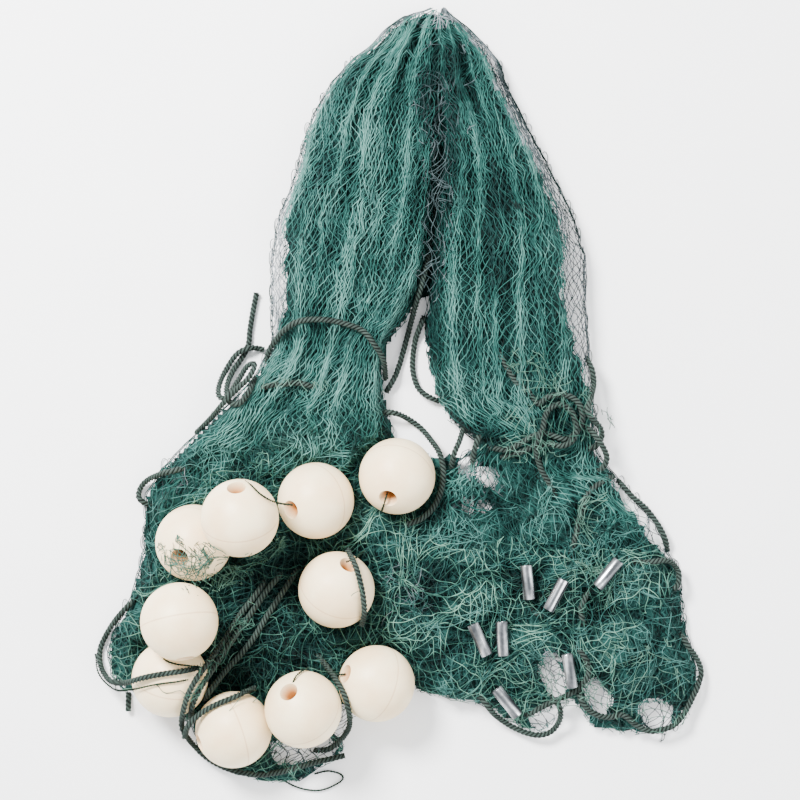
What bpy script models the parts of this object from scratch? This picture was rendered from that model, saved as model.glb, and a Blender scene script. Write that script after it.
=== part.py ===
"""A gathered fishing net: one mesh panel folded over its crown, both legs tied with rope,
round floats on the line of the left skirt and lead tubes on the line of the right one.
It lies flat on its underside. +Y runs from the skirts to the crown, +Z is up."""

import math

import bmesh
import bpy
import numpy as np
from mathutils import Vector
from mathutils.bvhtree import BVHTree

# Driving dimensions, in metres unless a name says otherwise.
MM = 0.001
ROPE_RADIUS = 0.003
THIN_CORD_RADIUS = 0.00125
FLOAT_RADIUS = 0.039
FLOAT_BORE_RADIUS = 0.0045
FLOAT_MOUTH_RADIUS = 0.0100
FLOAT_FUNNEL_DEPTH = 0.0110
SINKER_LENGTH = 0.035
SINKER_RADIUS = 0.0062
SINKER_BORE_RADIUS = 0.0030
SINKER_LIP = 0.0008
GAP = 0.0008
NETTING_EDGE = 0.0022
FLOAT_CLEARANCE = 0.0075
OUTER_ROUND = 0.028
INNER_ROUND = 0.030
ROW_PITCH = 0.0125
COLUMNS_PER_LEG = 13
LEG_FOLDS = 3.6
LEG_FOLD_HEIGHT = 0.0042
HEAP_LUMP_HEIGHT = 0.0038
HEAP_LUMP_LENGTH = 0.052
LEGS_START_Y = -0.045
LEGS_FULL_Y = 0.030
FINE_STEP = 0.004
TUBE_STEP_DIAMETERS = 2.1
SLACK_RADIUS = 0.018
TURNED_STEPS = 14

# Sections of the netting from crown to foot, in millimetres. The left and the right leg each
# run from their outer to their inner edge. Where the inner edges meet, crease is the share
# of the height that is left between the legs.
SECTION_COLUMNS = (
    "y", "left_outer", "left_inner", "right_inner", "right_outer",
    "left_height", "right_height", "crease",
)
SECTIONS = (
    (403.0, 32, 40, 40, 47, 5, 5, 1.00),
    (394.0, 2, 40, 40, 54, 14, 14, 1.00),
    (380.0, -18, 42, 42, 72, 25, 25, 1.00),
    (363.0, -32, 43, 43, 89, 33, 33, 0.95),
    (345.0, -56, 44, 44, 104, 38, 38, 0.90),
    (322.0, -76, 45, 45, 111, 42, 42, 0.80),
    (294.0, -91, 45, 45, 125, 45, 45, 0.65),
    (265.0, -103, 43, 43, 140, 47, 47, 0.50),
    (229.0, -111, 40, 40, 159, 49, 49, 0.40),
    (187.0, -128, 35, 35, 180, 50, 50, 0.32),
    (146.0, -136, 30, 30, 193, 50, 51, 0.25),
    (109.0, -138, 26, 26, 193, 47, 51, 0.12),
    (84.0, -137, 12, 24, 194, 41, 50, 0.00),
    (52.0, -136, -11, 24, 197, 38, 48, 0.00),
    (26.0, -149, -15, 28, 199, 41, 46, 0.00),
    (0.0, -170, -14, 34, 201, 40, 43, 0.00),
    (-26.0, -200, -9, 48, 205, 36, 40, 0.00),
    (-42.0, -217, -5, 66, 206, 33, 38, 0.00),
    (-52.0, -226, -3, 80, 205, 31, 38, 0.00),
    (-62.0, -237, 36, 36, 208, 27, 34, 0.45),
    (-78.0, -251, 30, 30, 221, 26, 30, 0.65),
    (-104.0, -268, 25, 25, 242, 27, 28, 0.80),
    (-130.0, -266, 20, 20, 264, 28, 27, 0.90),
    (-156.0, -269, 15, 15, 277, 29, 27, 1.00),
    (-182.0, -274, 9, 9, 288, 29, 27, 1.00),
    (-213.0, -285, 9, 9, 294, 28, 27, 1.00),
    (-239.0, -297, 9, 9, 297, 27, 26, 1.00),
    (-265.0, -307, 9, 9, 304, 25, 25, 0.90),
    (-291.0, -303, 9, 9, 309, 23, 24, 0.75),
    (-309.0, -288, 0, 14, 310, 21, 22, 0.00),
    (-323.0, -236, -28, 84, 301, 19, 18, 0.00),
    (-338.0, -225, -50, 108, 292, 17, 14, 0.00),
    (-352.0, -216, -55, 134, 272, 15, 7, 0.00),
    (-364.0, -209, -57, 0, 0, 13, 0, 0.00),
    (-378.0, -202, -62, 0, 0, 11, 0, 0.00),
    (-391.0, -180, -88, 0, 0, 9, 0, 0.00),
    (-403.0, -148, -104, 0, 0, 5, 0, 0.00),
)
RIGHT_FOOT_Y = -0.352
NOTCH_X = 0.176
NOTCH_WIDTH = 0.016
NOTCH_DEPTH = 0.034
NOTCH_START_Y = -0.295

# Centre of each float and the way its bore faces.
FLOATS = (
    # name, x, y, z in millimetres, bore direction
    ("float_01", -4, -83, 43, (-0.24, -0.56, 0.79)),
    ("float_02", -87, -108, 43, (-0.64, -0.21, 0.74)),
    ("float_03", -161, -123, 98, (-0.05, 0.82, 0.57)),
    ("float_04", -212, -151, 43, (-0.29, -0.34, 0.89)),
    ("float_05", -66, -199, 43, (0.34, 0.71, 0.61)),
    ("float_06", -222, -227, 91, (0.18, -0.95, 0.25)),
    ("float_07", -25, -295, 43, (-0.82, 0.32, 0.47)),
    ("float_08", -99, -318, 68, (-0.35, 0.56, 0.75)),
    ("float_09", -171, -342, 43, (0.90, 0.30, -0.31)),
    ("float_10", -236, -290, 44, (0.20, 0.90, 0.39)),
)

# Middle of each sinker in millimetres, and the turn of its bore from +X in degrees.
SINKERS = (
    ("sinker_01", 130, -192, -85),
    ("sinker_02", 159, -205, 63),
    ("sinker_03", 212, -183, 51),
    ("sinker_04", 81, -251, -65),
    ("sinker_05", 104, -250, -87),
    ("sinker_06", 173, -283, -81),
    ("sinker_07", 109, -316, -51),
)

# Route of each rope and cord over the ground, in millimetres. Their height follows from what
# they lie on, so a later one crosses over an earlier one.
ROPES = {
    "left_tie": ((-138, 34), (-136, 44), (-129, 55), (-119, 66), (-104, 75), (-83, 77), (-62, 74),
                 (-40, 66), (-27, 51), (-18, 36), (-16, 17)),
    "left_cross": ((-149, 3), (-136, 9), (-122, 11), (-104, 12), (-85, 7)),
    "hank_rope": ((-150, 106), (-154, 86), (-157, 67), (-159, 51), (-167, 36), (-175, 24),
                  (-180, 9), (-177, -6), (-166, -9), (-157, 1), (-150, 17)),
    "tail_rope": ((-142, 47), (-154, 49), (-168, 44), (-178, 32), (-186, 16), (-187, 0), (-178, -3),
                  (-168, 14), (-158, 29), (-150, 31), (-156, 17), (-173, 1), (-191, -19),
                  (-203, -31), (-212, -39)),
    "crease_rope": ((36, 211), (33, 175), (28, 144), (21, 113), (14, 88), (7, 62), (2, 44),
                    (-5, 22), (-15, 3)),
    "gap_rope": ((24, 82), (15, 57), (12, 36), (13, 21), (18, 7), (27, -1), (39, -6)),
    "arc_rope": ((-18, -18), (-5, -19), (8, -25), (21, -35), (31, -47), (39, -59), (43, -74),
                 (43, -88), (40, -102), (33, -116), (21, -127), (6, -133)),
    "under_rope_1": ((64, -35), (60, -47), (55, -59), (52, -74)),
    "under_rope_2": ((82, -37), (77, -50), (74, -62), (74, -77)),
    "ring_rope": ((95, 51), (105, 34), (117, 14), (132, 2), (140, -9), (150, -2), (163, 0),
                  (175, -3), (183, -12), (185, -25), (180, -37), (169, -45), (156, -42),
                  (145, -39), (133, -43), (121, -50), (107, -56), (91, -54)),
    "knot_rope": ((104, -64), (115, -61), (126, -57), (138, -52), (151, -50), (164, -52),
                  (175, -46), (178, -33), (175, -19), (165, -10), (154, -12), (147, -22),
                  (144, -36), (138, -53), (143, -75), (151, -89), (158, -103)),
    "edge_loop_rope": ((191, 38), (197, 24), (198, 11), (194, -3), (190, -15), (195, -24),
                       (204, -33), (206, -43), (199, -53), (187, -57)),
    "outer_loop_rope": ((189, -32), (198, -41), (206, -52), (211, -64), (208, -74), (200, -80)),
    "skirt_rope": ((219, -84), (204, -91), (192, -102), (186, -117), (181, -137), (177, -156),
                   (174, -171)),
    "outline_rope": ((225, -89), (238, -104), (253, -117), (266, -134), (274, -150), (277, -163)),
    "lead_rope_1": ((229, -163), (236, -170), (247, -172), (259, -171), (273, -170), (282, -175),
                    (287, -184), (286, -195), (281, -200)),
    "lead_rope_2": ((196, -201), (190, -207), (185, -220), (187, -233), (192, -244)),
    "lead_rope_3": ((133, -215), (137, -222), (143, -227), (149, -226)),
    "lead_rope_4": ((177, -259), (186, -266), (192, -277), (192, -289), (182, -302), (169, -310),
                    (154, -317), (138, -326), (124, -335)),
    "lead_rope_5": ((78, -306), (88, -319), (99, -332), (114, -343), (130, -350), (145, -352),
                    (157, -347), (164, -335), (163, -321), (154, -311)),
    "lead_rope_6": ((182, -302), (185, -313), (192, -323), (203, -330), (216, -332), (229, -330),
                    (242, -340), (256, -347), (269, -346), (283, -340), (294, -327), (301, -314),
                    (308, -299), (311, -286), (306, -272), (297, -260), (289, -247)),
    "left_loop_rope": ((-219, -74), (-234, -78), (-249, -82), (-262, -88), (-270, -96),
                       (-272, -105), (-267, -111), (-259, -114)),
    "foot_loop_rope": ((-276, -212), (-286, -222), (-297, -235), (-306, -249), (-312, -262),
                       (-313, -274), (-309, -286), (-298, -294), (-281, -292), (-261, -285),
                       (-244, -281), (-224, -278), (-206, -276)),
    "foot_loop_cord": ((-318, -269), (-314, -285), (-305, -297), (-291, -303), (-272, -298),
                       (-247, -291), (-224, -288), (-208, -286)),
    "cut_end": ((-283, -309), (-283, -318), (-283, -328)),
    "bundle_rope_1": ((-137, -187), (-149, -205), (-163, -223), (-177, -245), (-190, -264),
                      (-204, -283), (-214, -301), (-220, -321), (-223, -341), (-217, -358),
                      (-205, -372), (-187, -383), (-168, -390), (-147, -393), (-126, -390),
                      (-104, -384), (-82, -378), (-58, -373)),
    "bundle_rope_2": ((-122, -182), (-137, -200), (-151, -220), (-165, -240), (-179, -260),
                      (-191, -278), (-202, -295), (-210, -312), (-214, -328)),
    "bundle_rope_3": ((-107, -180), (-121, -202), (-137, -226), (-151, -249), (-165, -267),
                      (-179, -282), (-192, -298), (-201, -311)),
    "bundle_rope_4": ((-221, -349), (-214, -333), (-201, -321), (-187, -313), (-175, -308),
                      (-162, -303), (-150, -300)),
    "float_rope_8": ((-86, -269), (-76, -278), (-66, -289), (-58, -302), (-54, -314), (-52, -327),
                     (-54, -342), (-63, -357), (-75, -366), (-89, -369)),
    "float_rope_5": ((-54, -158), (-46, -173), (-41, -189), (-38, -205), (-37, -220), (-40, -234)),
}
THIN_CORDS = {
    "float_cord_1": ((-14, -99), (-17, -110), (-20, -119)),
    "float_cord_2": ((-155, -86), (-148, -90), (-139, -98), (-128, -105), (-118, -109), (-110, -111)),
    "float_cord_5": ((-55, -169), (-46, -165), (-38, -160)),
    "float_cord_6": ((-247, -262), (-236, -268), (-225, -271), (-215, -272), (-202, -275)),
    "float_cord_7": ((-57, -284), (-64, -284), (-72, -282)),
    "float_cord_8": ((-109, -293), (-107, -285), (-103, -280), (-94, -276)),
    "loop_cord": ((-122, -401), (-111, -406), (-99, -410), (-85, -411), (-72, -407), (-61, -400),
                  (-63, -394), (-76, -391), (-90, -394)),
}


def clear_scene():
    for item in list(bpy.data.objects):
        bpy.data.objects.remove(item, do_unlink=True)


def new_collection(name):
    collection = bpy.data.collections.new(name)
    bpy.context.scene.collection.children.link(collection)
    return collection


def material(name, color, roughness, metallic=0.0):
    made = bpy.data.materials.new(name)
    made.use_nodes = True
    shader = made.node_tree.nodes["Principled BSDF"]
    shader.inputs["Base Color"].default_value = (*color, 1.0)
    shader.inputs["Roughness"].default_value = roughness
    shader.inputs["Metallic"].default_value = metallic
    return made


def smoothstep(low, high, value):
    t = min(max((value - low) / (high - low), 0.0), 1.0)
    return t * t * (3.0 - 2.0 * t)


def section_at(y):
    """Every column of the section table at this y, in metres but for the crease."""
    table = np.array(SECTIONS[::-1])
    values = [np.interp(y / MM, table[:, 0], column) for column in table.T]
    row = dict(zip(SECTION_COLUMNS, values))
    return {name: value if name == "crease" else value * MM for name, value in row.items()}


def rounded(distance, width):
    """0 at an edge, rising as a quarter circle to 1 at this width from it."""
    t = min(max(distance / width, 0.0), 1.0)
    return math.sqrt(1.0 - (1.0 - t) ** 2)


def fold_height(share, x, y):
    """Ridges that run down the legs, and lumps in the heap at their foot."""
    legs = smoothstep(LEGS_START_Y, LEGS_FULL_Y, y)
    ridge = math.cos(2 * math.pi * LEG_FOLDS * share + 4.0 * y)
    ridge += 0.5 * math.sin(2 * math.pi * 1.7 * share - 9.0 * y)
    k = 2 * math.pi / HEAP_LUMP_LENGTH
    lump = math.sin(k * (x + 0.4 * y)) * math.cos(0.8 * k * (y - 0.3 * x))
    lump += 0.6 * math.sin(1.7 * k * (x - y) + 1.0)
    return legs * LEG_FOLD_HEIGHT * ridge + (1 - legs) * HEAP_LUMP_HEIGHT * lump


def float_pit(x, y, height):
    """The netting sinks under each float and rises round its side."""
    radius = FLOAT_RADIUS + FLOAT_CLEARANCE
    for _, float_x, float_y, float_z, _ in FLOATS:
        reach = radius**2 - (x - float_x * MM) ** 2 - (y - float_y * MM) ** 2
        if reach > 0.0:
            height = min(height, float_z * MM - math.sqrt(reach))
    return max(height, NETTING_EDGE)


def notch_shift(x, y):
    """How far the right foot's edge draws in between its two lobes."""
    if x < 0.0:
        return 0.0
    near_foot = 1.0 - smoothstep(RIGHT_FOOT_Y, NOTCH_START_Y, y)
    return NOTCH_DEPTH * near_foot * math.exp(-(((x - NOTCH_X) / NOTCH_WIDTH) ** 2))


def netting_point(row, side, share):
    """Place of the netting's top at this share of the way from a leg's outer to inner edge."""
    outer, inner = row[side + "_outer"], row[side + "_inner"]
    width = max(abs(inner - outer), 1e-6)
    x = outer + (inner - outer) * share
    from_outer = rounded(share * width, min(OUTER_ROUND, width / 2))
    to_inner = rounded((1 - share) * width, min(INNER_ROUND, width / 2))
    crease = row["crease"]
    body = from_outer * (crease + (1 - crease) * to_inner)
    height = NETTING_EDGE + (row[side + "_height"] - NETTING_EDGE) * body
    height += fold_height(share, x, row["y"]) * from_outer * to_inner
    y = row["y"] + notch_shift(x, row["y"])
    return x, y, float_pit(x, y, height)


def section_rows():
    """The y of each row of the netting's surface: every section, and evenly between them."""
    rows = []
    for upper, lower in zip(SECTIONS, SECTIONS[1:]):
        parts = max(1, round((upper[0] - lower[0]) * MM / ROW_PITCH))
        rows += [(upper[0] + (lower[0] - upper[0]) * i / parts) * MM for i in range(parts)]
    return rows + [SECTIONS[-1][0] * MM]


def build_netting(collection):
    """The draped top, a short wall along every edge and the gap, and the flat underside."""
    mesh = bmesh.new()
    last_row = {}
    for y in section_rows():
        row = section_at(y)
        joined = row["right_inner"] - row["left_inner"] < MM and y > RIGHT_FOOT_Y
        sides = {"left": [], "right": []}
        for side, verts in sides.items():
            if side == "right" and y < RIGHT_FOOT_Y - 1e-6:
                continue
            for i in range(COLUMNS_PER_LEG + 1):
                place = netting_point(row, side, i / COLUMNS_PER_LEG)
                if side == "right" and joined and i == COLUMNS_PER_LEG:
                    verts.append(sides["left"][-1])
                else:
                    verts.append(mesh.verts.new(place))
            above = last_row.get(side)
            if above:
                for i in range(COLUMNS_PER_LEG):
                    mesh.faces.new((above[i], above[i + 1], verts[i + 1], verts[i]))
        last_row = {side: verts for side, verts in sides.items() if verts}
    edges = [edge for edge in mesh.edges if edge.is_boundary]
    wall = bmesh.ops.extrude_edge_only(mesh, edges=edges)["geom"]
    for vert in wall:
        if isinstance(vert, bmesh.types.BMVert):
            vert.co.z = 0.0
    rim = [edge for edge in wall if isinstance(edge, bmesh.types.BMEdge) and edge.is_boundary]
    bmesh.ops.triangle_fill(mesh, edges=rim, use_beauty=True)
    bmesh.ops.recalc_face_normals(mesh, faces=mesh.faces)
    data = bpy.data.meshes.new("netting")
    mesh.to_mesh(data)
    data.shade_smooth()
    data.set_sharp_from_angle(angle=math.radians(60))
    netting = bpy.data.objects.new("netting", data)
    collection.objects.link(netting)
    tree = BVHTree.FromBMesh(mesh)
    mesh.free()
    return netting, tree


def turned(name, profile, collection):
    """A closed profile of (radius, height) points turned about the object's own Z."""
    data = bpy.data.meshes.new(name)
    count = len(profile)
    edges = [(i, (i + 1) % count) for i in range(count)]
    data.from_pydata([(radius, 0.0, height) for radius, height in profile], edges, [])
    item = bpy.data.objects.new(name, data)
    collection.objects.link(item)
    screw = item.modifiers.new("Turn", "SCREW")
    screw.steps = TURNED_STEPS
    screw.render_steps = TURNED_STEPS
    screw.use_merge_vertices = True
    screw.merge_threshold = 0.0001
    screw.use_smooth_shade = True
    return item


def float_profile():
    """Outer ball from one bore mouth to the other, then back up through the bore."""
    start = math.asin(FLOAT_MOUTH_RADIUS / FLOAT_RADIUS)
    steps = 8
    angles = [start + (math.pi - 2 * start) * i / steps for i in range(steps + 1)]
    outside = [(FLOAT_RADIUS * math.sin(a), FLOAT_RADIUS * math.cos(a)) for a in angles]
    mouth_height = FLOAT_RADIUS * math.cos(start)
    funnel = mouth_height - FLOAT_FUNNEL_DEPTH
    waist = 0.5 * (FLOAT_MOUTH_RADIUS + FLOAT_BORE_RADIUS) - 0.0012
    half = mouth_height - 0.35 * FLOAT_FUNNEL_DEPTH
    return outside + [
        (waist, -half), (FLOAT_BORE_RADIUS, -funnel), (FLOAT_BORE_RADIUS, funnel), (waist, half),
    ]


def sinker_profile():
    top = SINKER_LENGTH / 2
    return [
        (SINKER_RADIUS - SINKER_LIP, top), (SINKER_RADIUS, top - SINKER_LIP),
        (SINKER_RADIUS, SINKER_LIP - top), (SINKER_RADIUS - SINKER_LIP, -top),
        (SINKER_BORE_RADIUS, -top), (SINKER_BORE_RADIUS, top),
    ]


def build_floats(collection, finish):
    for name, x, y, z, bore in FLOATS:
        item = turned(name, float_profile(), collection)
        item.location = (x * MM, y * MM, z * MM)
        item.rotation_euler = Vector(bore).to_track_quat("Z", "Y").to_euler()
        item.data.materials.append(finish)


def ground(tree, x, y, reach):
    """Highest point of the netting within reach of (x, y), or the floor at 0."""
    highest = 0.0
    around = [(0.0, 0.0)] + [
        (reach * math.cos(k * math.pi / 4), reach * math.sin(k * math.pi / 4)) for k in range(8)
    ]
    for dx, dy in around:
        hit = tree.ray_cast(Vector((x + dx, y + dy, 1.0)), Vector((0, 0, -1)))[0]
        if hit is not None:
            highest = max(highest, hit.z)
    return highest


def build_sinkers(collection, finish, tree):
    """Each sinker lies level on the highest netting under its length."""
    for name, x, y, turn in SINKERS:
        angle = math.radians(turn)
        along = [SINKER_LENGTH * (i / 6 - 0.5) for i in range(7)]
        places = [(x * MM + d * math.cos(angle), y * MM + d * math.sin(angle)) for d in along]
        rest = max(ground(tree, px, py, SINKER_RADIUS) for px, py in places)
        item = turned(name, sinker_profile(), collection)
        item.location = (x * MM, y * MM, rest + SINKER_RADIUS + GAP)
        item.rotation_euler = (0.0, math.pi / 2, angle)
        item.data.materials.append(finish)


def smooth_route(points, step):
    """Points an even step apart on the smooth curve through a route's own points."""
    knots = [Vector((x * MM, y * MM)) for x, y in points]
    knots = [2 * knots[0] - knots[1]] + knots + [2 * knots[-1] - knots[-2]]
    dense = []
    for p0, p1, p2, p3 in zip(knots, knots[1:], knots[2:], knots[3:]):
        for i in range(24):
            t = i / 24
            dense.append(
                0.5 * (2 * p1 + (p2 - p0) * t + (2 * p0 - 5 * p1 + 4 * p2 - p3) * t**2
                       + (3 * p1 - p0 - 3 * p2 + p3) * t**3)
            )
    dense.append(knots[-2])
    lengths = np.cumsum([0.0] + [(b - a).length for a, b in zip(dense, dense[1:])])
    count = max(2, round(lengths[-1] / step))
    wanted = np.linspace(0.0, lengths[-1], count + 1)
    xs = np.interp(wanted, lengths, [p.x for p in dense])
    ys = np.interp(wanted, lengths, [p.y for p in dense])
    return list(zip(xs, ys))


def rest_height(tree, laid, x, y, radius):
    """Lowest height at which a cord's middle clears netting, floats and the cords under it."""
    height = ground(tree, x, y, radius) + radius + GAP
    reach = FLOAT_RADIUS + radius + GAP
    for _, float_x, float_y, float_z, _ in FLOATS:
        over = reach**2 - (x - float_x * MM) ** 2 - (y - float_y * MM) ** 2
        if over > 0.0:
            height = max(height, float_z * MM + math.sqrt(over))
    for points, other_radius in laid:
        reach_other = radius + other_radius + GAP
        over = reach_other**2 - (points[:, 0] - x) ** 2 - (points[:, 1] - y) ** 2
        near = over > 0.0
        if near.any():
            height = max(height, float((points[near, 2] + np.sqrt(over[near])).max()))
    return height


def lay_cord(points, radius, tree, laid):
    """The route's points with the height of a cord laid on whatever is under it."""
    fine = smooth_route(points, FINE_STEP)
    lowest = np.array([rest_height(tree, laid, x, y, radius) for x, y in fine])
    sag = FINE_STEP**2 / SLACK_RADIUS
    height = lowest.copy()
    for _ in range(400):
        height[1:-1] = np.maximum(height[1:-1], 0.5 * (height[:-2] + height[2:]) - 0.5 * sag)
    spread = max(1, round(TUBE_STEP_DIAMETERS * radius / FINE_STEP))
    padded = np.pad(height, spread, mode="edge")
    cover = np.array([padded[i : i + 2 * spread + 1].max() for i in range(len(height))])
    coarse = smooth_route(points, 2 * radius * TUBE_STEP_DIAMETERS)
    wanted = np.linspace(0, len(fine) - 1, len(coarse))
    heights = np.interp(wanted, range(len(fine)), cover)
    path = np.array([(x, y, z) for (x, y), z in zip(coarse, heights)])
    dense = np.linspace(0, len(path) - 1, 6 * len(path))
    line = np.column_stack([np.interp(dense, range(len(path)), path[:, k]) for k in range(3)])
    laid.append((line, radius))
    return path


def tube(name, path, radius, collection, finish):
    data = bpy.data.curves.new(name, "CURVE")
    data.dimensions = "3D"
    data.bevel_depth = radius
    data.bevel_resolution = 2
    data.use_fill_caps = True
    spline = data.splines.new("POLY")
    spline.points.add(len(path) - 1)
    for point, place in zip(spline.points, path):
        point.co = (*place, 1.0)
    spline.use_smooth = True
    data.materials.append(finish)
    collection.objects.link(bpy.data.objects.new(name, data))


def main():
    clear_scene()
    collection = new_collection("fishing_net")
    net_green = material("net_green", (0.045, 0.17, 0.13), 0.75)
    rope_green = material("rope_green", (0.02, 0.045, 0.035), 0.65)
    cord_green = material("cord_green", (0.03, 0.07, 0.05), 0.6)
    float_cream = material("float_cream", (0.85, 0.78, 0.64), 0.4)
    lead_grey = material("lead_grey", (0.42, 0.44, 0.46), 0.4, 1.0)
    netting, tree = build_netting(collection)
    netting.data.materials.append(net_green)
    build_floats(collection, float_cream)
    build_sinkers(collection, lead_grey, tree)
    laid = []
    for name, points in ROPES.items():
        radius = THIN_CORD_RADIUS if name.endswith("cord") else ROPE_RADIUS
        tube(name, lay_cord(points, radius, tree, laid), radius, collection, rope_green)
    for name, points in THIN_CORDS.items():
        path = lay_cord(points, THIN_CORD_RADIUS, tree, laid)
        tube(name, path, THIN_CORD_RADIUS, collection, cord_green)


main()
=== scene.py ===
"""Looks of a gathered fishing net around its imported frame: twisted ropes, bored floats, rolled lead
sinkers, and knotted mesh laid in layers over the dark bulk of the gathered netting.
Lengths are in metres; the tables that say so are in millimetres. +Y runs to the crown."""

import math

import bpy
import numpy as np
from mathutils import Matrix, Vector
from mathutils.bvhtree import BVHTree


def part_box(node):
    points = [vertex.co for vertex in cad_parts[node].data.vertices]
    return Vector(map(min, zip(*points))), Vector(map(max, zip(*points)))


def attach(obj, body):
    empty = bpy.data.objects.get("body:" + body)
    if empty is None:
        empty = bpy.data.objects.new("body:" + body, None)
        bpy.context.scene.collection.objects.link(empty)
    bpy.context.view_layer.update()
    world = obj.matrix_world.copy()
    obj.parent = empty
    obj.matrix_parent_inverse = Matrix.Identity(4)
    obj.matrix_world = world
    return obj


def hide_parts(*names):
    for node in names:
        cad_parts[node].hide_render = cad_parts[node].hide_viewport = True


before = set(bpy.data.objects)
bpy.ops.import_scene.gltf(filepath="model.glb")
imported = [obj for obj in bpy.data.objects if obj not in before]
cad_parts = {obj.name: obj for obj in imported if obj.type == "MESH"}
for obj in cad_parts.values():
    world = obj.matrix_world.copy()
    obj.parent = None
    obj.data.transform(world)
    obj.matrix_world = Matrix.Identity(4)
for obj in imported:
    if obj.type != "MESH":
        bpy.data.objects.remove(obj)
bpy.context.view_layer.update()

MM = 0.001
BODY = "root"

CAMERA_PLACE = (-0.00104, -0.0052, 2.4)
CAMERA_LENS = 103.8
CAMERA_SENSOR = 36.0

# Each lamp's name, place, size and power.
LAMPS = (("key", (-1.1, 1.2, 2.0), 0.8, 275), ("fill", (1.6, -0.6, 1.6), 1.6, 40))
SKY_COLOR = (0.96, 0.98, 1.0, 1.0)
SKY_STRENGTH = 1.90
FLOOR_SIZE = 6.0
FLOOR_DROP = 0.0004

ROPE_DIAMETER = 0.006
ROPE_LAY = 0.013
CORD_DIAMETER = 0.0025
CORD_LAY = 0.007
ROPE_STEP = 0.0016
CORD_STEP = 0.0018
END_DIP = 0.012
END_DIP_LENGTH = 0.020
BURIED_FADE = 0.02
FLOOR_GAP = 0.0003
ROUTE_PARTS = 24
# Outline of each kind of line: radius, sides, strands and depth of the valleys between them.
ROPE_OUTLINE = (ROPE_DIAMETER / 2 * 1.08, 18, 3, 0.42)
CORD_OUTLINE = (CORD_DIAMETER / 2 * 1.06, 8, 2, 0.35)

FLOAT_RADIUS = 0.039
FLOAT_MOUTH_RADIUS = 0.0095
FLOAT_BORE_RADIUS = 0.0045
FLOAT_FUNNEL_DEPTH = 0.010
WELD_DEPTH = 0.00012

SINKER_LENGTH = 0.035
SINKER_RADIUS = 0.0062
SINKER_WALL = 0.0026
SINKER_RIM = 0.0006

GRID_PITCH = 0.002
GRID_X = (-0.336, 0.336)
GRID_Y = (-0.426, 0.426)

BULK_PITCH = 0.005
BULK_SINK = 0.0045
BULK_INSET = 0.0025
BULK_WALL = 0.0012

# Rows of knots, and the layers that follow the legs.
LEG_ROW = 0.0074
SKIRT_ROW = 0.0062
TOP_ROW = 0.402
FRINGE_TOP_ROW = 0.403
BOTTOM_ROW = -0.402
BUNCHING = 0.036
JITTER = 0.09
KNOT_RISE = 0.0006
LAYER_RIPPLE = 0.0012
FOLD_RISE = 0.0030
OWN_SIDE_LAP = 0.004
CROWN_WIDTH = 0.155
BARE_BELOW = -0.20
# Painted shade on the long layers where the heaps lie over them in the skirts.
SKIRT_SHADE = -0.28
FLOW_LEAST = (0.0, 0.02, 0.10)

# Every twine: its shade, the longest and steepest step that it takes, and its least height.
TWINE_SHADE = 0.11
LONGEST_STEP = 0.014
STEEPEST_STEP = 0.0032
SHORTEST_RUN = 4
LOWEST_TWINE = 0.0008
LOWEST_BULK = 0.0022

# Even lattices that heaps, veils and the crown's tuft are cut from.
LATTICE_HALF = (0.34, 0.24)
HEAP_MIDDLE = -0.22
HEAP_PARTS = 3
HEAP_JITTER = 0.12
HEAP_KNOT_RISE = 0.0008
HEAP_RIPPLE = 0.0016
FINE_WARP = 0.0023
HEAP_LEAST = 0.22
VEIL_TWINE = 0.00042
VEIL_LIFT = 0.0012
VEIL_WARP = 0.008
VEIL_LEAST = 0.34
CROWN_TUFT = (34, 386, 20, 11, 0)

# The thin fringe, and the dark twines along its edge.
FRINGE_TWINE = 0.0004
FRINGE_WANDER = (0.0010, 0.004)
FRINGE_BUNCHING = 0.012
FRINGE_LAP = 0.002
EDGE_TWINE = 0.0006
EDGE_STEP = 0.0035
STRAY_LOOPS = 46

# Colours of each twine: painted shade in the creases, between, and painted light on the folds.
TWINES = {
    "bright_twine": ((0.0031, 0.021, 0.0186), (0.021, 0.090, 0.076), (0.089, 0.221, 0.190)),
    "even_twine": ((0.0022, 0.0143, 0.0133), (0.0149, 0.058, 0.051), (0.056, 0.149, 0.132)),
    "dark_twine": ((0.0011, 0.0054, 0.0048), (0.0068, 0.026, 0.023), (0.026, 0.074, 0.064)),
    "loose_twine": ((0.0044, 0.0194, 0.0154), (0.033, 0.100, 0.077), (0.128, 0.268, 0.200)),
    "veil_twine": ((0.0037, 0.015, 0.0112), (0.024, 0.070, 0.052), (0.079, 0.160, 0.122)),
    "grey_twine": ((0.0068, 0.0136, 0.0143), (0.038, 0.058, 0.061), (0.116, 0.146, 0.153)),
    "pale_twine": ((0.013, 0.021, 0.023), (0.052, 0.070, 0.073), (0.255, 0.278, 0.300)),
}

# Seeds of the random draws; the number of a layer, a veil or a sinker is added to its own.
FLOW_SEED = 11
FLOW_END_SEED = 170
HEAP_SEED = 60
HEAP_END_SEED = 270
VEIL_SEED = 160
VEIL_EDGE_SEED = 370
FRINGE_SEED = 31
TUFT_SEED = 38
EDGE_SEED = 35
EDGE_WAVE_SEED = 36
CREASE_SEED = 71
FOLD_SEEDS = (81, 82, 83)
TONE_SEED = 84
RAGGED_EDGE_SEED = 91
RAGGED_OPEN_SEED = 92
DENT_SEED = 40
STREAK_SEED = 90

# Folds down each leg: how many over its width, phase, turn per metre of length, and part.
LEG_FOLDS = ((2.2, 0.4, 5.0, 0.42), (4.3, 2.1, -7.0, 0.50), (7.1, 4.0, 9.0, 0.34))

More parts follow.
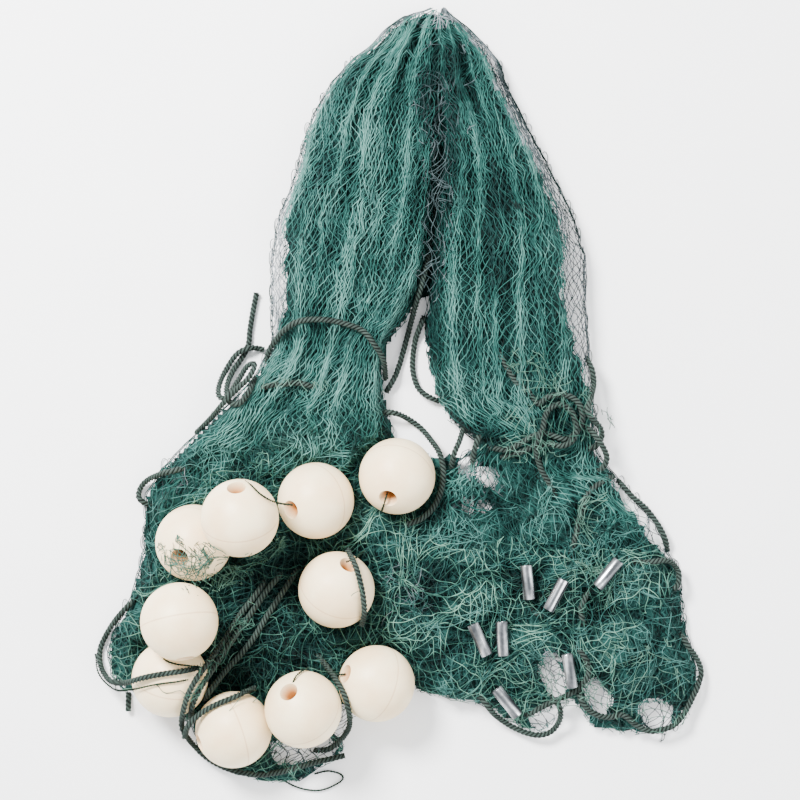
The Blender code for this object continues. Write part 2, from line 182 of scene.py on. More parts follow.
# Layers that run the whole length of the net, from the lowest up.
FLOW_LAYERS = (
    # lift, inset, gap to a clearing, lowest y left and right, wander in legs and skirts,
    # columns, points to a side, twine radius
    (-0.0022, 0.003, 0.002, (-0.50, -0.50), (0.0030, 0.010), 40, 1, 0.00048),
    (-0.0002, 0.001, -0.003, (-0.50, -0.50), (0.0024, 0.010), 37, 1, 0.00045),
    (0.0018, -0.001, -0.009, (-0.10, -0.19), (0.0028, 0.008), 38, 2, 0.00042),
)

# Loose layers over the skirts.
HEAP_LAYERS = (
    # top y left and right, gap to a clearing, turn, cell width and height, lift, warp, shade,
    # twine radius
    ((-0.03, -0.09), -0.003, 12, (0.0110, 0.0130), 0.0005, 0.008, -0.10, 0.00042),
    ((-0.05, -0.12), -0.009, -38, (0.0115, 0.0125), 0.0022, 0.008, 0.0, 0.00040),
    ((-0.07, -0.15), -0.014, 60, (0.0110, 0.0130), 0.0040, 0.008, 0.0, 0.00038),
)

# Layers of the fringe: columns of knots and lowest y.
FRINGE_LAYERS = ((28, -0.5), (34, 0.02))

# Dark hollows, and light patches below 0: middle, half sizes, turn in degrees and strength.
SHADOWS = (
    (39, 200, 120, 17, 85, 0.74), (42, 318, 58, 28, 88, 0.92), (22, 90, 34, 9, 80, 0.70),
    (-81, 235, 38, 10, 75, 0.25), (-139, -215, 95, 42, 59, 0.52), (-65, -195, 55, 50, 0, 0.26),
    (-71, -260, 40, 25, 0, 0.38), (30, -205, 70, 10, 75, 0.45), (130, -190, 36, 24, -40, 0.45),
    (195, -215, 44, 14, 60, 0.50), (30, -262, 40, 20, 0, 0.30), (85, -42, 30, 9, -20, 0.50),
    (180, -15, 30, 26, 0, 0.40), (105, 180, 130, 50, 100, 0.36), (-155, -285, 60, 30, 20, 0.50),
    (-150, -220, 130, 95, 0, 0.14), (60, -285, 50, 34, 0, 0.08), (-60, -110, 30, 20, 0, 0.20),
    (110, -75, 40, 24, 0, 0.12), (165, -20, 34, 30, 0, 0.15),
    (-110, -28, 80, 32, 10, -0.14), (62, -150, 60, 30, 0, -0.10), (220, -290, 60, 40, 0, -0.07),
)

# Round puffs of mesh, lifted and lit with painted light, with a crease round each, dipped and darkened
# with painted shade: middle, half sizes and turn.
PUFFS = (
    (64, -150, 47, 42, 0), (236, -190, 44, 36, 10), (214, -256, 52, 34, 15), (140, -255, 34, 22, -20),
    (150, -120, 40, 30, 70), (20, -245, 38, 30, 0), (-205, -120, 40, 26, 30), (-95, -60, 60, 30, 15),
    (-40, -130, 30, 26, 0), (75, -215, 40, 26, 20),
)

# Mesh that lies over floats and ropes: middle, half sizes, turn, the lattice's own turn, its
# cell, and shade.
VEILS = (
    (-206, -172, 44, 22, -14, 10, 5, 0.10), (-206, -172, 44, 21, -12, -35, 6, 0.15),
    (-204, -172, 40, 17, -12, 60, 6, 0.05), (-140, -163, 32, 9, 34, 20, 4, 0.1),
    (-140, -164, 31, 8, 34, -30, 5, 0.25),
    (-36, -196, 34, 9, 85, 10, 9, 0.10), (-221, -300, 26, 9, 0, 30, 14, 0.0),
    (-152, -306, 32, 9, 15, -10, 10, 0.1), (-111, 10, 34, 9, 0, 15, 9, 0.2),
    (160, -25, 52, 26, 0, 25, 9, 0.1), (140, 20, 34, 22, -40, -20, 9, 0.1),
    (198, -195, 62, 30, 20, -20, 10, 0.1), (150, -300, 70, 30, -10, 15, 12, 0.1),
    (250, -300, 50, 46, 0, 30, 12, 0.1), (190, -130, 46, 14, 65, -10, 10, 0.1),
    (-184, -262, 60, 12, 55, 10, 10, 0.2), (130, -55, 40, 14, -10, 40, 9, 0.1),
)
CREASE_VEILS = (
    (38, 196, 108, 19, 86, -6, 9, 0.12), (40, 305, 62, 26, 88, 8, 10, 0.05),
    (8, -205, 30, 34, 0, 20, 12, 0.0),
)

# The line between the two legs, and lower down between the two skirts, in millimetres.
SPLIT = (
    # y, x
    (403, 40), (300, 45), (229, 40), (187, 35), (146, 30), (109, 26), (84, 18), (52, 7), (26, 6),
    (0, 10), (-26, 20), (-52, 38), (-78, 30), (-130, 20), (-182, 9), (-291, 9), (-323, 28), (-403, 60),
)

# Width of the single see-through layer along each outer edge, in millimetres.
FRINGE = (
    # y, left width, right width
    (403, 14, 14), (385, 6, 9), (363, 4, 12), (345, 3, 12), (322, 3, 11), (294, 3, 12),
    (265, 3, 13), (229, 4, 15), (187, 7, 17), (146, 14, 22), (109, 15, 25), (84, 14, 22),
    (52, 4, 14), (26, 0, 9), (0, -2, 3), (-78, -2, 2), (-104, -2, 14), (-150, -2, 13), (-170, -2, 0),
    (-195, -2, -6), (-320, -2, -6), (-403, -2, -2),
)

# Places where only one layer of mesh lies on the floor: middle, half sizes and turn in degrees.
CLEARINGS = (
    # x, y, half length, half width, turn
    (68, -72, 11, 7, -60), (90, -84, 14, 7, -50), (76, -114, 10, 5, 0),
    (160, -291, 24, 12, -75),
    (149, -333, 16, 8, 20),
    (205, -314, 18, 11, -70),
    (265, -331, 16, 14, 0),
    (-234, -90, 8, 4, 40),
    (-148, -143, 10, 4, 30),
    (-100, -366, 34, 15, 8),
    (-60, -340, 12, 16, 0),
)

# Route of each rope and cord over the ground, in millimetres.
ROPES = {
    "left_tie": (
        (-138, 34), (-136, 44), (-129, 55), (-119, 66), (-104, 75), (-83, 77), (-62, 74), (-40, 66),
        (-27, 51), (-18, 36), (-16, 17),
    ),
    "left_cross": ((-149, 3), (-136, 9), (-122, 11), (-104, 12), (-85, 7)),
    "hank_rope": (
        (-150, 106), (-154, 86), (-157, 67), (-159, 51), (-167, 36), (-175, 24), (-180, 9), (-177, -6),
        (-166, -9), (-157, 1), (-150, 17),
    ),
    "tail_rope": (
        (-142, 47), (-154, 49), (-168, 44), (-178, 32), (-186, 16), (-187, 0), (-178, -3), (-168, 14),
        (-158, 29), (-150, 31), (-156, 17), (-173, 1), (-191, -19), (-203, -31), (-212, -39),
    ),
    "crease_rope": (
        (36, 211), (33, 175), (28, 144), (21, 113), (14, 88), (7, 62), (2, 44), (-5, 22), (-15, 3),
    ),
    "gap_rope": ((24, 82), (15, 57), (12, 36), (13, 21), (18, 7), (27, -1), (39, -6)),
    "arc_rope": (
        (-18, -18), (-5, -19), (8, -25), (21, -35), (31, -47), (39, -59), (43, -74), (43, -88),
        (40, -102), (33, -116), (21, -127), (6, -133),
    ),
    "under_rope_1": ((64, -35), (60, -47), (55, -59), (52, -74)),
    "under_rope_2": ((82, -37), (77, -50), (74, -62), (74, -77)),
    "ring_rope": (
        (95, 51), (105, 34), (117, 14), (132, 2), (140, -9), (150, -2), (163, 0), (175, -3), (183, -12),
        (185, -25), (180, -37), (169, -45), (156, -42), (145, -39), (133, -43), (121, -50), (107, -56),
        (91, -54),
    ),
    "knot_rope": (
        (104, -64), (115, -61), (126, -57), (138, -52), (151, -50), (164, -52), (175, -46), (178, -33),
        (175, -19), (165, -10), (154, -12), (147, -22), (144, -36), (138, -53), (143, -75), (151, -89),
        (158, -103),
    ),
    "edge_loop_rope": (
        (191, 38), (197, 24), (198, 11), (194, -3), (190, -15), (195, -24), (204, -33), (206, -43),
        (199, -53), (187, -57),
    ),
    "outer_loop_rope": ((189, -32), (198, -41), (206, -52), (211, -64), (208, -74), (200, -80)),
    "skirt_rope": (
        (219, -84), (204, -91), (192, -102), (186, -117), (181, -137), (177, -156), (174, -171),
    ),
    "outline_rope": ((225, -89), (238, -104), (253, -117), (266, -134), (274, -150), (277, -163)),
    "lead_rope_1": (
        (229, -163), (236, -170), (247, -172), (259, -171), (273, -170), (282, -175), (287, -184),
        (286, -195), (281, -200),
    ),
    "lead_rope_2": ((196, -201), (190, -207), (185, -220), (187, -233), (192, -244)),
    "lead_rope_3": ((133, -215), (137, -222), (143, -227), (149, -226)),
    "lead_rope_4": (
        (177, -259), (186, -266), (192, -277), (192, -289), (182, -302), (169, -310), (154, -317),
        (138, -326), (124, -335),
    ),
    "lead_rope_5": (
        (78, -306), (88, -319), (99, -332), (114, -343), (130, -350), (145, -352), (157, -347),
        (164, -335), (163, -321), (154, -311),
    ),
    "lead_rope_6": (
        (182, -302), (185, -313), (192, -323), (203, -330), (216, -332), (229, -330), (242, -340),
        (256, -347), (269, -346), (283, -340), (294, -327), (301, -314), (308, -299), (311, -286),
        (306, -272), (297, -260), (289, -247),
    ),
    "left_loop_rope": (
        (-219, -74), (-234, -78), (-249, -82), (-262, -88), (-270, -96), (-272, -105), (-267, -111),
        (-259, -114),
    ),
    "foot_loop_rope": (
        (-276, -212), (-286, -222), (-297, -235), (-306, -249), (-312, -262), (-313, -274), (-309, -286),
        (-298, -294), (-281, -292), (-261, -285), (-244, -281), (-224, -278), (-206, -276),
    ),
    "cut_end": ((-283, -309), (-283, -318), (-283, -328)),
    "bundle_rope_1": (
        (-137, -187), (-149, -205), (-163, -223), (-177, -245), (-190, -264), (-204, -283), (-214, -301),
        (-220, -321), (-223, -341), (-217, -358), (-205, -372), (-187, -383), (-168, -390), (-147, -393),
        (-126, -390), (-104, -384), (-82, -378), (-58, -373),
    ),
    "bundle_rope_2": (
        (-122, -182), (-137, -200), (-151, -220), (-165, -240), (-179, -260), (-191, -278), (-202, -295),
        (-210, -312), (-214, -328),
    ),
    "bundle_rope_3": (
        (-107, -180), (-121, -202), (-137, -226), (-151, -249), (-165, -267), (-179, -282), (-192, -298),
        (-201, -311),
    ),
    "bundle_rope_4": (
        (-221, -349), (-214, -333), (-201, -321), (-187, -313), (-175, -308), (-162, -303), (-150, -300),
    ),
    "float_rope_8": (
        (-86, -269), (-76, -278), (-66, -289), (-58, -302), (-54, -314), (-52, -327), (-54, -342),
        (-63, -357), (-75, -366), (-89, -369),
    ),
    "float_rope_5": ((-54, -158), (-46, -173), (-41, -189), (-38, -205), (-37, -220), (-40, -234)),
}
THIN_CORDS = {
    "foot_loop_cord": (
        (-318, -269), (-314, -285), (-305, -297), (-291, -303), (-272, -298), (-247, -291), (-224, -288),
        (-208, -286),
    ),
    "float_cord_1": ((-14, -99), (-17, -110), (-20, -119)),
    "float_cord_2": ((-155, -86), (-148, -90), (-139, -98), (-128, -105), (-118, -109), (-110, -111)),
    "float_cord_5": ((-55, -169), (-46, -165), (-38, -160)),
    "float_cord_6": ((-247, -262), (-236, -268), (-225, -271), (-215, -272), (-202, -275)),
    "float_cord_7": ((-57, -284), (-64, -284), (-72, -282)),
    "float_cord_8": ((-109, -293), (-107, -285), (-103, -280), (-94, -276)),
    "loop_cord": (
        (-122, -401), (-111, -406), (-99, -410), (-85, -411), (-72, -407), (-61, -400), (-63, -394),
        (-76, -391), (-90, -394),
    ),
}
# How much of a rope from its start lies in the mesh, and how deep, in metres.
BURIED = {
    "crease_rope": (0.085, 0.013), "ring_rope": (0.090, 0.0060), "skirt_rope": (0.40, 0.0030),
    "lead_rope_2": (0.40, 0.0025), "lead_rope_3": (0.40, 0.0025), "left_cross": (0.40, 0.0022),
    "lead_rope_1": (0.03, 0.0040), "under_rope_1": (0.40, 0.0020), "float_rope_8": (0.05, 0.0030),
}
BARE_STARTS = ("hank_rope",)
BARE_ENDS = ("cut_end", "bundle_rope_1", "arc_rope", "lead_rope_1")

# Short lines, and the longer one that each is tied to.
SHORT_LINES = {
    "lead_rope_3": "lead_rope_2",
    "cut_end": "foot_loop_rope",
    "float_cord_1": "arc_rope",
    "float_cord_5": "float_rope_5",
    "float_cord_7": "float_rope_8",
}

# Way that each float's bore faces; its middle comes from the frame.
FLOAT_BORES = {
    "float_01": (-0.24, -0.56, 0.79),
    "float_02": (-0.64, -0.21, 0.74),
    "float_03": (-0.05, 0.82, 0.57),
    "float_04": (-0.29, -0.34, 0.89),
    "float_05": (0.34, 0.71, 0.61),
    "float_06": (0.18, -0.95, 0.25),
    "float_07": (-0.82, 0.32, 0.47),
    "float_08": (-0.35, 0.56, 0.75),
    "float_09": (0.90, 0.30, -0.31),
    "float_10": (0.20, 0.90, 0.39),
}
# Turn of each sinker's bore from +X, and of its slit round the bore, in degrees.
SINKER_TURNS = {
    "sinker_01": (-85, 20),
    "sinker_02": (63, -35),
    "sinker_03": (51, 25),
    "sinker_04": (-65, -20),
    "sinker_05": (-87, 40),
    "sinker_06": (-81, -30),
    "sinker_07": (-51, 15),
}


# ---------------------------------------------------------------- camera, light, floor

def linked(name, data):
    """A new object with this data, in the scene."""
    item = bpy.data.objects.new(name, data)
    bpy.context.scene.collection.objects.link(item)
    return item


def look_down():
    """The camera hangs over the net and looks straight down."""
    data = bpy.data.cameras.new("camera")
    data.lens = CAMERA_LENS
    data.sensor_width = CAMERA_SENSOR
    camera = linked("camera", data)
    camera.location = CAMERA_PLACE
    bpy.context.scene.camera = camera


def area_light(name, place, size, power):
    data = bpy.data.lights.new(name, "AREA")
    data.shape = "DISK"
    data.size = size
    data.energy = power
    lamp = linked(name, data)
    lamp.location = place
    lamp.rotation_euler = (-Vector(place)).to_track_quat("-Z", "Y").to_euler()


def light_scene():
    for lamp in LAMPS:
        area_light(*lamp)
    world = bpy.data.worlds.new("studio")
    world.use_nodes = True
    background = world.node_tree.nodes["Background"]
    background.inputs["Color"].default_value = SKY_COLOR
    background.inputs["Strength"].default_value = SKY_STRENGTH
    bpy.context.scene.world = world


# ---------------------------------------------------------------- materials

def new_material(name):
    """A material with its nodes and its Principled shader."""
    made = bpy.data.materials.new(name)
    made.use_nodes = True
    return made, made.node_tree, made.node_tree.nodes["Principled BSDF"]


def fill(tree, socket, value):
    """Gives a socket a value, or another node's output."""
    if isinstance(value, bpy.types.NodeSocket):
        tree.links.new(value, socket)
    else:
        socket.default_value = value


def fill_all(tree, node, **inputs):
    """Fills a node's inputs by their names, with _ for each space."""
    for key, value in inputs.items():
        fill(tree, node.inputs[key.replace("_", " ")], value)


def add_node(tree, kind, settings=None, **inputs):
    """A node with these settings; each input is a value or another node's output."""
    node = tree.nodes.new(kind)
    for key, value in (settings or {}).items():
        setattr(node, key, value)
    fill_all(tree, node, **inputs)
    return node


def attribute(tree, name):
    return add_node(tree, "ShaderNodeAttribute", {"attribute_name": name}).outputs["Fac"]


def worked_out(tree, operation, *values):
    """The result of a Math node."""
    node = add_node(tree, "ShaderNodeMath", {"operation": operation})
    for socket, value in zip(node.inputs, values):
        fill(tree, socket, value)
    return node.outputs[0]


def spread(tree, value, low, high, top=1.0):
    """A value between 0 and top, spread from low to high."""
    node = add_node(tree, "ShaderNodeMapRange", Value=value, From_Max=top, To_Min=low, To_Max=high)
    return node.outputs["Result"]


def ramp(tree, factor, *stops):
    """A colour ramp with (position, colour) stops."""
    node = add_node(tree, "ShaderNodeValToRGB", Fac=factor)
    elements = node.color_ramp.elements
    while len(elements) < len(stops):
        elements.new(0.5)
    for element, (position, color) in zip(elements, stops):
        element.position = position
        element.color = (*color, 1.0)
    return node.outputs["Color"]


def noise(tree, scale, detail=2.0):
    where = tree.nodes.new("ShaderNodeTexCoord").outputs["Object"]
    return add_node(tree, "ShaderNodeTexNoise", Vector=where, Scale=scale, Detail=detail).outputs["Fac"]


def bump(tree, height, strength, distance):
    node = add_node(tree, "ShaderNodeBump", Height=height, Strength=strength, Distance=distance)
    return node.outputs["Normal"]


def twine_material(name, dark, middle, light):
    """Twisted polyethylene twine: painted light on the folds, painted shade in the creases and hollows,
    and each strand a little different.
    """
    made, tree, shader = new_material(name)
    # The tone attribute carries the ground's painted light and shade and each twine's own random tone.
    tone = worked_out(tree, "MULTIPLY", attribute(tree, "tone"), 0.60)
    shown = worked_out(tree, "MULTIPLY_ADD", noise(tree, 150.0), 0.38, tone)
    fill_all(
        tree, shader,
        Base_Color=ramp(tree, shown, (0.26, dark), (0.50, middle), (0.74, light)),
        Roughness=spread(tree, noise(tree, 2400.0, 1.0), 0.45, 0.70),
        Specular_IOR_Level=0.10,
    )
    return made


def rope_material(name, dark, light, fibre_scale):
    """Twisted rope: painted shade between its strands, and a painted highlight on their crowns broken up
    by fine yarns and mottling.
    """
    made, tree, shader = new_material(name)
    yarn = noise(tree, fibre_scale)
    # Yarns and mottling, shown only on the crowns as a painted highlight; the valleys between strands
    # keep the painted shade.
    yarn_mottle = worked_out(tree, "MULTIPLY_ADD", yarn, 0.7, noise(tree, 60.0, 3.0))
    shown = worked_out(tree, "MULTIPLY", yarn_mottle, attribute(tree, "crown"))
    fill_all(
        tree, shader,
        Base_Color=ramp(tree, shown, (0.22, dark), (0.95, light)),
        Roughness=spread(tree, yarn, 0.50, 0.80),
        Normal=bump(tree, yarn, 0.5, 0.0004),
        Specular_IOR_Level=0.12,
    )
    return made


def float_material():
    """Cream moulded plastic, darker and more ochre deeper in the bore, with faint stains and scuffs."""
    made, tree, shader = new_material("moulded_cream")
    stain = noise(tree, 26.0, 4.0)
    cream = ramp(tree, stain, (0.32, (0.83, 0.62, 0.36)), (0.62, (0.91, 0.75, 0.48)))
    mixed = add_node(tree, "ShaderNodeMix", {"data_type": "RGBA"}, Factor=attribute(tree, "bore"))
    fill(tree, mixed.inputs[6], cream)
    fill(tree, mixed.inputs[7], (0.42, 0.17, 0.04, 1.0))
    fill_all(
        tree, shader,
        Base_Color=mixed.outputs[2],
        Roughness=spread(tree, noise(tree, 340.0, 3.0), 0.36, 0.56),
        Normal=bump(tree, stain, 0.12, 0.001),
        Subsurface_Weight=0.08,
        Subsurface_Radius=(0.008, 0.005, 0.003),
    )
    return made


def sinker_material():
    """Rolled sheet lead: painted highlights streaked along its length, dull grey between them."""
    made, tree, shader = new_material("rolled_lead")
    dents = noise(tree, 220.0, 3.0)
    # Streaks of painted highlight and reflection along the lead, where it is also smoother.
    sheen_streaks = worked_out(tree, "MULTIPLY_ADD", dents, 0.4, attribute(tree, "streak"))
    fill_all(
        tree, shader,
        Base_Color=ramp(
            tree, sheen_streaks,
            (0.30, (0.050, 0.055, 0.060)), (0.70, (0.19, 0.20, 0.21)), (1.0, (0.62, 0.64, 0.66)),
        ),
        Metallic=0.85,
        Roughness=spread(tree, sheen_streaks, 0.50, 0.22),
        Normal=bump(tree, dents, 0.3, 0.0005),
    )
    return made


def bulk_material():
    """The mesh deep inside the gathered net: many finer layers, seen as one, painted nearly black with
    the shade between them, and lighter or darker with the ground's painted light and shade.
    """
    made, tree, shader = new_material("deep_mesh")
    flow = add_node(tree, "ShaderNodeUVMap", {"uv_map": "flow"})
    layers = []
    for scale, width in ((1.0, 0.16), (1.37, 0.20)):
        cells = add_node(
            tree, "ShaderNodeTexVoronoi", {"feature": "DISTANCE_TO_EDGE"},
            Vector=flow.outputs["UV"], Scale=scale, Randomness=0.85,
        )
        layers.append(spread(tree, cells.outputs["Distance"], 1.0, 0.0, width))
    lines = worked_out(tree, "MAXIMUM", *layers)
    tone = worked_out(tree, "MULTIPLY", attribute(tree, "tone"), 0.5)
    shown = worked_out(tree, "MULTIPLY_ADD", lines, 0.5, tone)
    fill_all(
        tree, shader,
        Base_Color=ramp(
            tree, shown, (0.10, (0.0008, 0.0028, 0.0030)), (0.45, (0.0035, 0.015, 0.014)),
            (0.85, (0.018, 0.067, 0.058)),
        ),
        Roughness=0.85,
        Specular_IOR_Level=0.05,
        Normal=bump(tree, lines, 0.5, 0.001),
    )
    return made


def floor_material():
    """A pale matt floor with a faint grain."""
    made, tree, shader = new_material("pale_floor")
    grain = ramp(tree, noise(tree, 8.0), (0.3, (0.93, 0.93, 0.935)), (0.7, (0.95, 0.95, 0.95)))
    fill_all(tree, shader, Base_Color=grain, Roughness=0.9)
    return made


# ---------------------------------------------------------------- helpers

def take_up(piece):
    """Makes this the only selected piece, and the active one."""
    for item in list(bpy.context.selected_objects):
        item.select_set(False)
    piece.select_set(True)
    bpy.context.view_layer.objects.active = piece


def apply_modifier(piece, kind, **settings):
    """Adds a modifier to the active piece and applies it."""
    added = piece.modifiers.new(kind, kind)
    for key, value in settings.items():
        setattr(added, key, value)
    bpy.ops.object.modifier_apply(modifier=added.name)


def on_points(piece, name, values):
    """Gives each vertex a number that a material reads."""
    piece.data.attributes.new(name, "FLOAT", "POINT").data.foreach_set("value", values)


def select_only(piece, kind, chosen):
    """Leaves just these vertices, edges or faces of the active piece selected, in edit mode."""
    bpy.ops.object.mode_set(mode="EDIT")
    bpy.ops.mesh.select_mode(type=kind)
    bpy.ops.mesh.select_all(action="DESELECT")
    bpy.ops.object.mode_set(mode="OBJECT")
    parts = {"VERT": piece.data.vertices, "EDGE": piece.data.edges, "FACE": piece.data.polygons}
    parts[kind].foreach_set("select", [bool(wanted) for wanted in chosen])
    bpy.ops.object.mode_set(mode="EDIT")


def finished(piece, name, finish):
    """Names a piece, gives it its finish and lets it ride with the net."""
    piece.name = name
    piece.data.name = name
    piece.data.materials.clear()
    piece.data.materials.append(finish)
    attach(piece, BODY)
    return piece


def tree_of(node):
    """A search tree of one of the frame's nodes."""
    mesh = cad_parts[node].data
    return BVHTree.FromPolygons(
        [vert.co.copy() for vert in mesh.vertices], [tuple(face.vertices) for face in mesh.polygons]
    )


def places_of(piece):
    return np.array([vert.co for vert in piece.data.vertices])


def below(level, reach, y):
    """0 above a level, growing to 1 this far below it."""
    return np.clip((level - y) / reach, 0, 1)


def wave_field(seed, shortest, longest):
    """A smooth random field over the ground with a typical height of 1."""
    count = 7
    rng = np.random.default_rng(seed)
    angle = rng.uniform(0, 2 * math.pi, count)
    number = 2 * math.pi / rng.uniform(shortest, longest, count)
    phase = rng.uniform(0, 2 * math.pi, count)

    def field(x, y):
        total = 0.0
        for a, k, p in zip(angle, number, phase):
            total = total + np.sin(k * (x * math.cos(a) + y * math.sin(a)) + p)
        return total / math.sqrt(count / 2)

    return field


def profile_curve(name, points):
    """A closed outline that ropes and twines are swept from."""
    data = bpy.data.curves.new(name, "CURVE")
    data.dimensions = "2D"
    spline = data.splines.new("POLY")
    spline.points.add(len(points) - 1)
    for point, (x, y) in zip(spline.points, points):
        point.co = (x, y, 0.0, 1.0)
    spline.use_cyclic_u = True
    return linked(name, data)


def ring_points(radius, sides, lobes=0, depth=0.0):
    """A round outline, or one of strands that bulge with valleys of this depth between them."""
    points = []
    for i in range(sides):
        angle = 2 * math.pi * i / sides
        bulge = abs(math.cos(lobes * angle / 2)) ** 0.8 if lobes else 1.0
        reach = radius * (1 - depth + depth * bulge)
        points.append((reach * math.cos(angle), reach * math.sin(angle)))
    return points


def swept(name, paths, outline, radii=None, tilts=None, tones=None, crowns=None):
    """One mesh of tubes along these paths, all with the same outline."""
    profile = profile_curve(name + "_outline", outline)
    data = bpy.data.curves.new(name, "CURVE")
    data.dimensions = "3D"
    data.bevel_mode = "OBJECT"
    data.bevel_object = profile
    data.use_fill_caps = True
    for index, path in enumerate(paths):
        spline = data.splines.new("POLY")
        spline.points.add(len(path) - 1)
        spline.points.foreach_set("co", np.column_stack([path, np.ones(len(path))]).ravel())
        if radii is not None:
            spline.points.foreach_set("radius", radii[index])
        if tilts is not None:
            spline.points.foreach_set("tilt", tilts[index])
        spline.use_smooth = True
    guide = linked(name + "_guide", data)
    graph = bpy.context.evaluated_depsgraph_get()
    piece = linked(name, bpy.data.meshes.new_from_object(guide.evaluated_get(graph)))
    bpy.data.objects.remove(guide)
    bpy.data.objects.remove(profile)
    if tones is not None:
        # The caps come first, from the last tube's to the first one's, and then the tubes in order.
        caps = [end for tone in reversed(tones) for end in (tone[-1], tone[0])]
        on_points(piece, "tone", np.repeat(np.concatenate([caps] + tones), len(outline)))
    if crowns is not None:
        on_points(piece, "crown", np.tile(crowns, len(piece.data.vertices) // len(crowns)))
    take_up(piece)
    bpy.ops.object.mode_set(mode="EDIT")
    bpy.ops.mesh.select_all(action="SELECT")
    bpy.ops.mesh.remove_doubles(threshold=0.000001)
    bpy.ops.object.mode_set(mode="OBJECT")
    return piece


# ---------------------------------------------------------------- ropes and cords

def smooth_route(points, step):
    """Points an even step apart on the smooth curve through a route's own points."""
    knots = [Vector((x * MM, y * MM)) for x, y in points]
    knots = [2 * knots[0] - knots[1]] + knots + [2 * knots[-1] - knots[-2]]
    dense = []
    for p0, p1, p2, p3 in zip(knots, knots[1:], knots[2:], knots[3:]):
        for i in range(ROUTE_PARTS):
            t = i / ROUTE_PARTS
            dense.append(
                0.5 * (2 * p1 + (p2 - p0) * t + (2 * p0 - 5 * p1 + 4 * p2 - p3) * t**2
                       + (3 * p1 - p0 - 3 * p2 + p3) * t**3)
            )
    dense.append(knots[-2])
    lengths = np.cumsum([0.0] + [(b - a).length for a, b in zip(dense, dense[1:])])
    count = max(2, round(lengths[-1] / step))
    wanted = np.linspace(0.0, lengths[-1], count + 1)
    xs = np.interp(wanted, lengths, [p.x for p in dense])
    ys = np.interp(wanted, lengths, [p.y for p in dense])
    return np.column_stack([xs, ys])


def cord_heights(node, places):
    """Height of the frame's own cord at each place, followed from its first end to its last."""
    tree = tree_of(node)
    heights = np.full(len(places), np.nan)
    last = None
    for i, (x, y) in enumerate(places):
        hits = []
        start = Vector((x, y, 1.0))
        hit = tree.ray_cast(start, Vector((0, 0, -1)))[0]
        while hit is not None:
            hits.append(hit.z)
            hit = tree.ray_cast(hit - Vector((0, 0, 2e-5)), Vector((0, 0, -1)))[0]
        middles = [(a + b) / 2 for a, b in zip(hits[::2], hits[1::2])]
        if middles:
            aim = last if last is not None else middles[0]
            heights[i] = min(middles, key=lambda middle: abs(middle - aim))
            last = heights[i]
    known = ~np.isnan(heights)
    order = np.arange(len(places))
    return np.interp(order, order[known], heights[known])


def softened(values, reach):
    """A running average that leaves both ends where they are."""
    padded = np.pad(values, reach, mode="edge")
    window = np.ones(2 * reach + 1) / (2 * reach + 1)
    return np.convolve(padded, window, mode="valid")


def softened_grid(grid):
    """A grid with each value the mean of its neighbours, three times over."""
    for _ in range(3):
        rows, columns = (np.roll(grid, 1, k) + np.roll(grid, -1, k) for k in range(2))
        grid = (rows + columns) / 4
    return grid


def cord_path(name, points, step, radius):
    """The cord's middle line; an end that goes into the netting dips into it."""
    route = smooth_route(points, step)
    height = softened(cord_heights(name, route), 3)
    along = np.arange(len(route)) * step
    if name not in BARE_STARTS:
        height -= END_DIP * np.clip(1 - along / END_DIP_LENGTH, 0, 1) ** 2
    if name not in BARE_ENDS:
        height -= END_DIP * np.clip(1 - along[::-1] / END_DIP_LENGTH, 0, 1) ** 2
    if name in BURIED:
        stretch, depth = BURIED[name]
        height -= depth * below(stretch, BURIED_FADE, along)
    return np.column_stack([route, np.maximum(height, radius + FLOOR_GAP)])


def build_cords(rope, cord):
    """Each rope has three strands and each cord has two, twisted by one turn per lay."""
    sizes = (
        (ROPES, ROPE_STEP, ROPE_DIAMETER, ROPE_LAY, ROPE_OUTLINE, rope),
        (THIN_CORDS, CORD_STEP, CORD_DIAMETER, CORD_LAY, CORD_OUTLINE, cord),
    )
    laid = {}
    for routes, step, diameter, lay, section, finish in sizes:
        outline = ring_points(*section)
        for name, points in routes.items():
            path = cord_path(name, points, step, diameter / 2)
            lengths = np.cumsum(np.r_[0.0, np.linalg.norm(np.diff(path, axis=0), axis=1)])
            tilt = -2 * math.pi * lengths / lay
            # How far each point of the outline stands out, which the rope's material turns into painted
            # shade in the valleys and a painted highlight on the crowns.
            reach = np.array([math.hypot(*point) for point in outline])
            crowns = (reach - reach.min()) / (reach.max() - reach.min())
            piece = swept(name + "_line", [path], outline, tilts=[tilt], crowns=crowns)
            finished(piece, name + "_line", finish)
            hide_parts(name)
            laid[name] = (piece, path, float(lengths[-1]), diameter)
    for name, (piece, path, length, diameter) in laid.items():
        if name in SHORT_LINES:
            continue


# ---------------------------------------------------------------- floats and sinkers

def float_profile():
    """Half section of a float: the ball with a weld groove, then down one funnel and up the other."""
    start = math.asin(FLOAT_MOUTH_RADIUS / FLOAT_RADIUS)
    angles = list(np.linspace(start, math.pi / 2 - 0.03, 12))
    upper = [(FLOAT_RADIUS * math.sin(a), FLOAT_RADIUS * math.cos(a)) for a in angles]
    groove = [(FLOAT_RADIUS - WELD_DEPTH, 0.0)]
    lower = [(radius, -height) for radius, height in reversed(upper)]
    mouth = upper[0][1]
    funnel = []
    for i in range(1, 6):
        t = i / 5
        flare = (FLOAT_MOUTH_RADIUS - FLOAT_BORE_RADIUS) * math.cos(t * math.pi / 2) ** 0.8
        funnel.append((FLOAT_BORE_RADIUS + flare, mouth - FLOAT_FUNNEL_DEPTH * t**1.6))
    under = [(radius, -height) for radius, height in funnel]
    return upper + groove + lower + under + list(reversed(funnel))


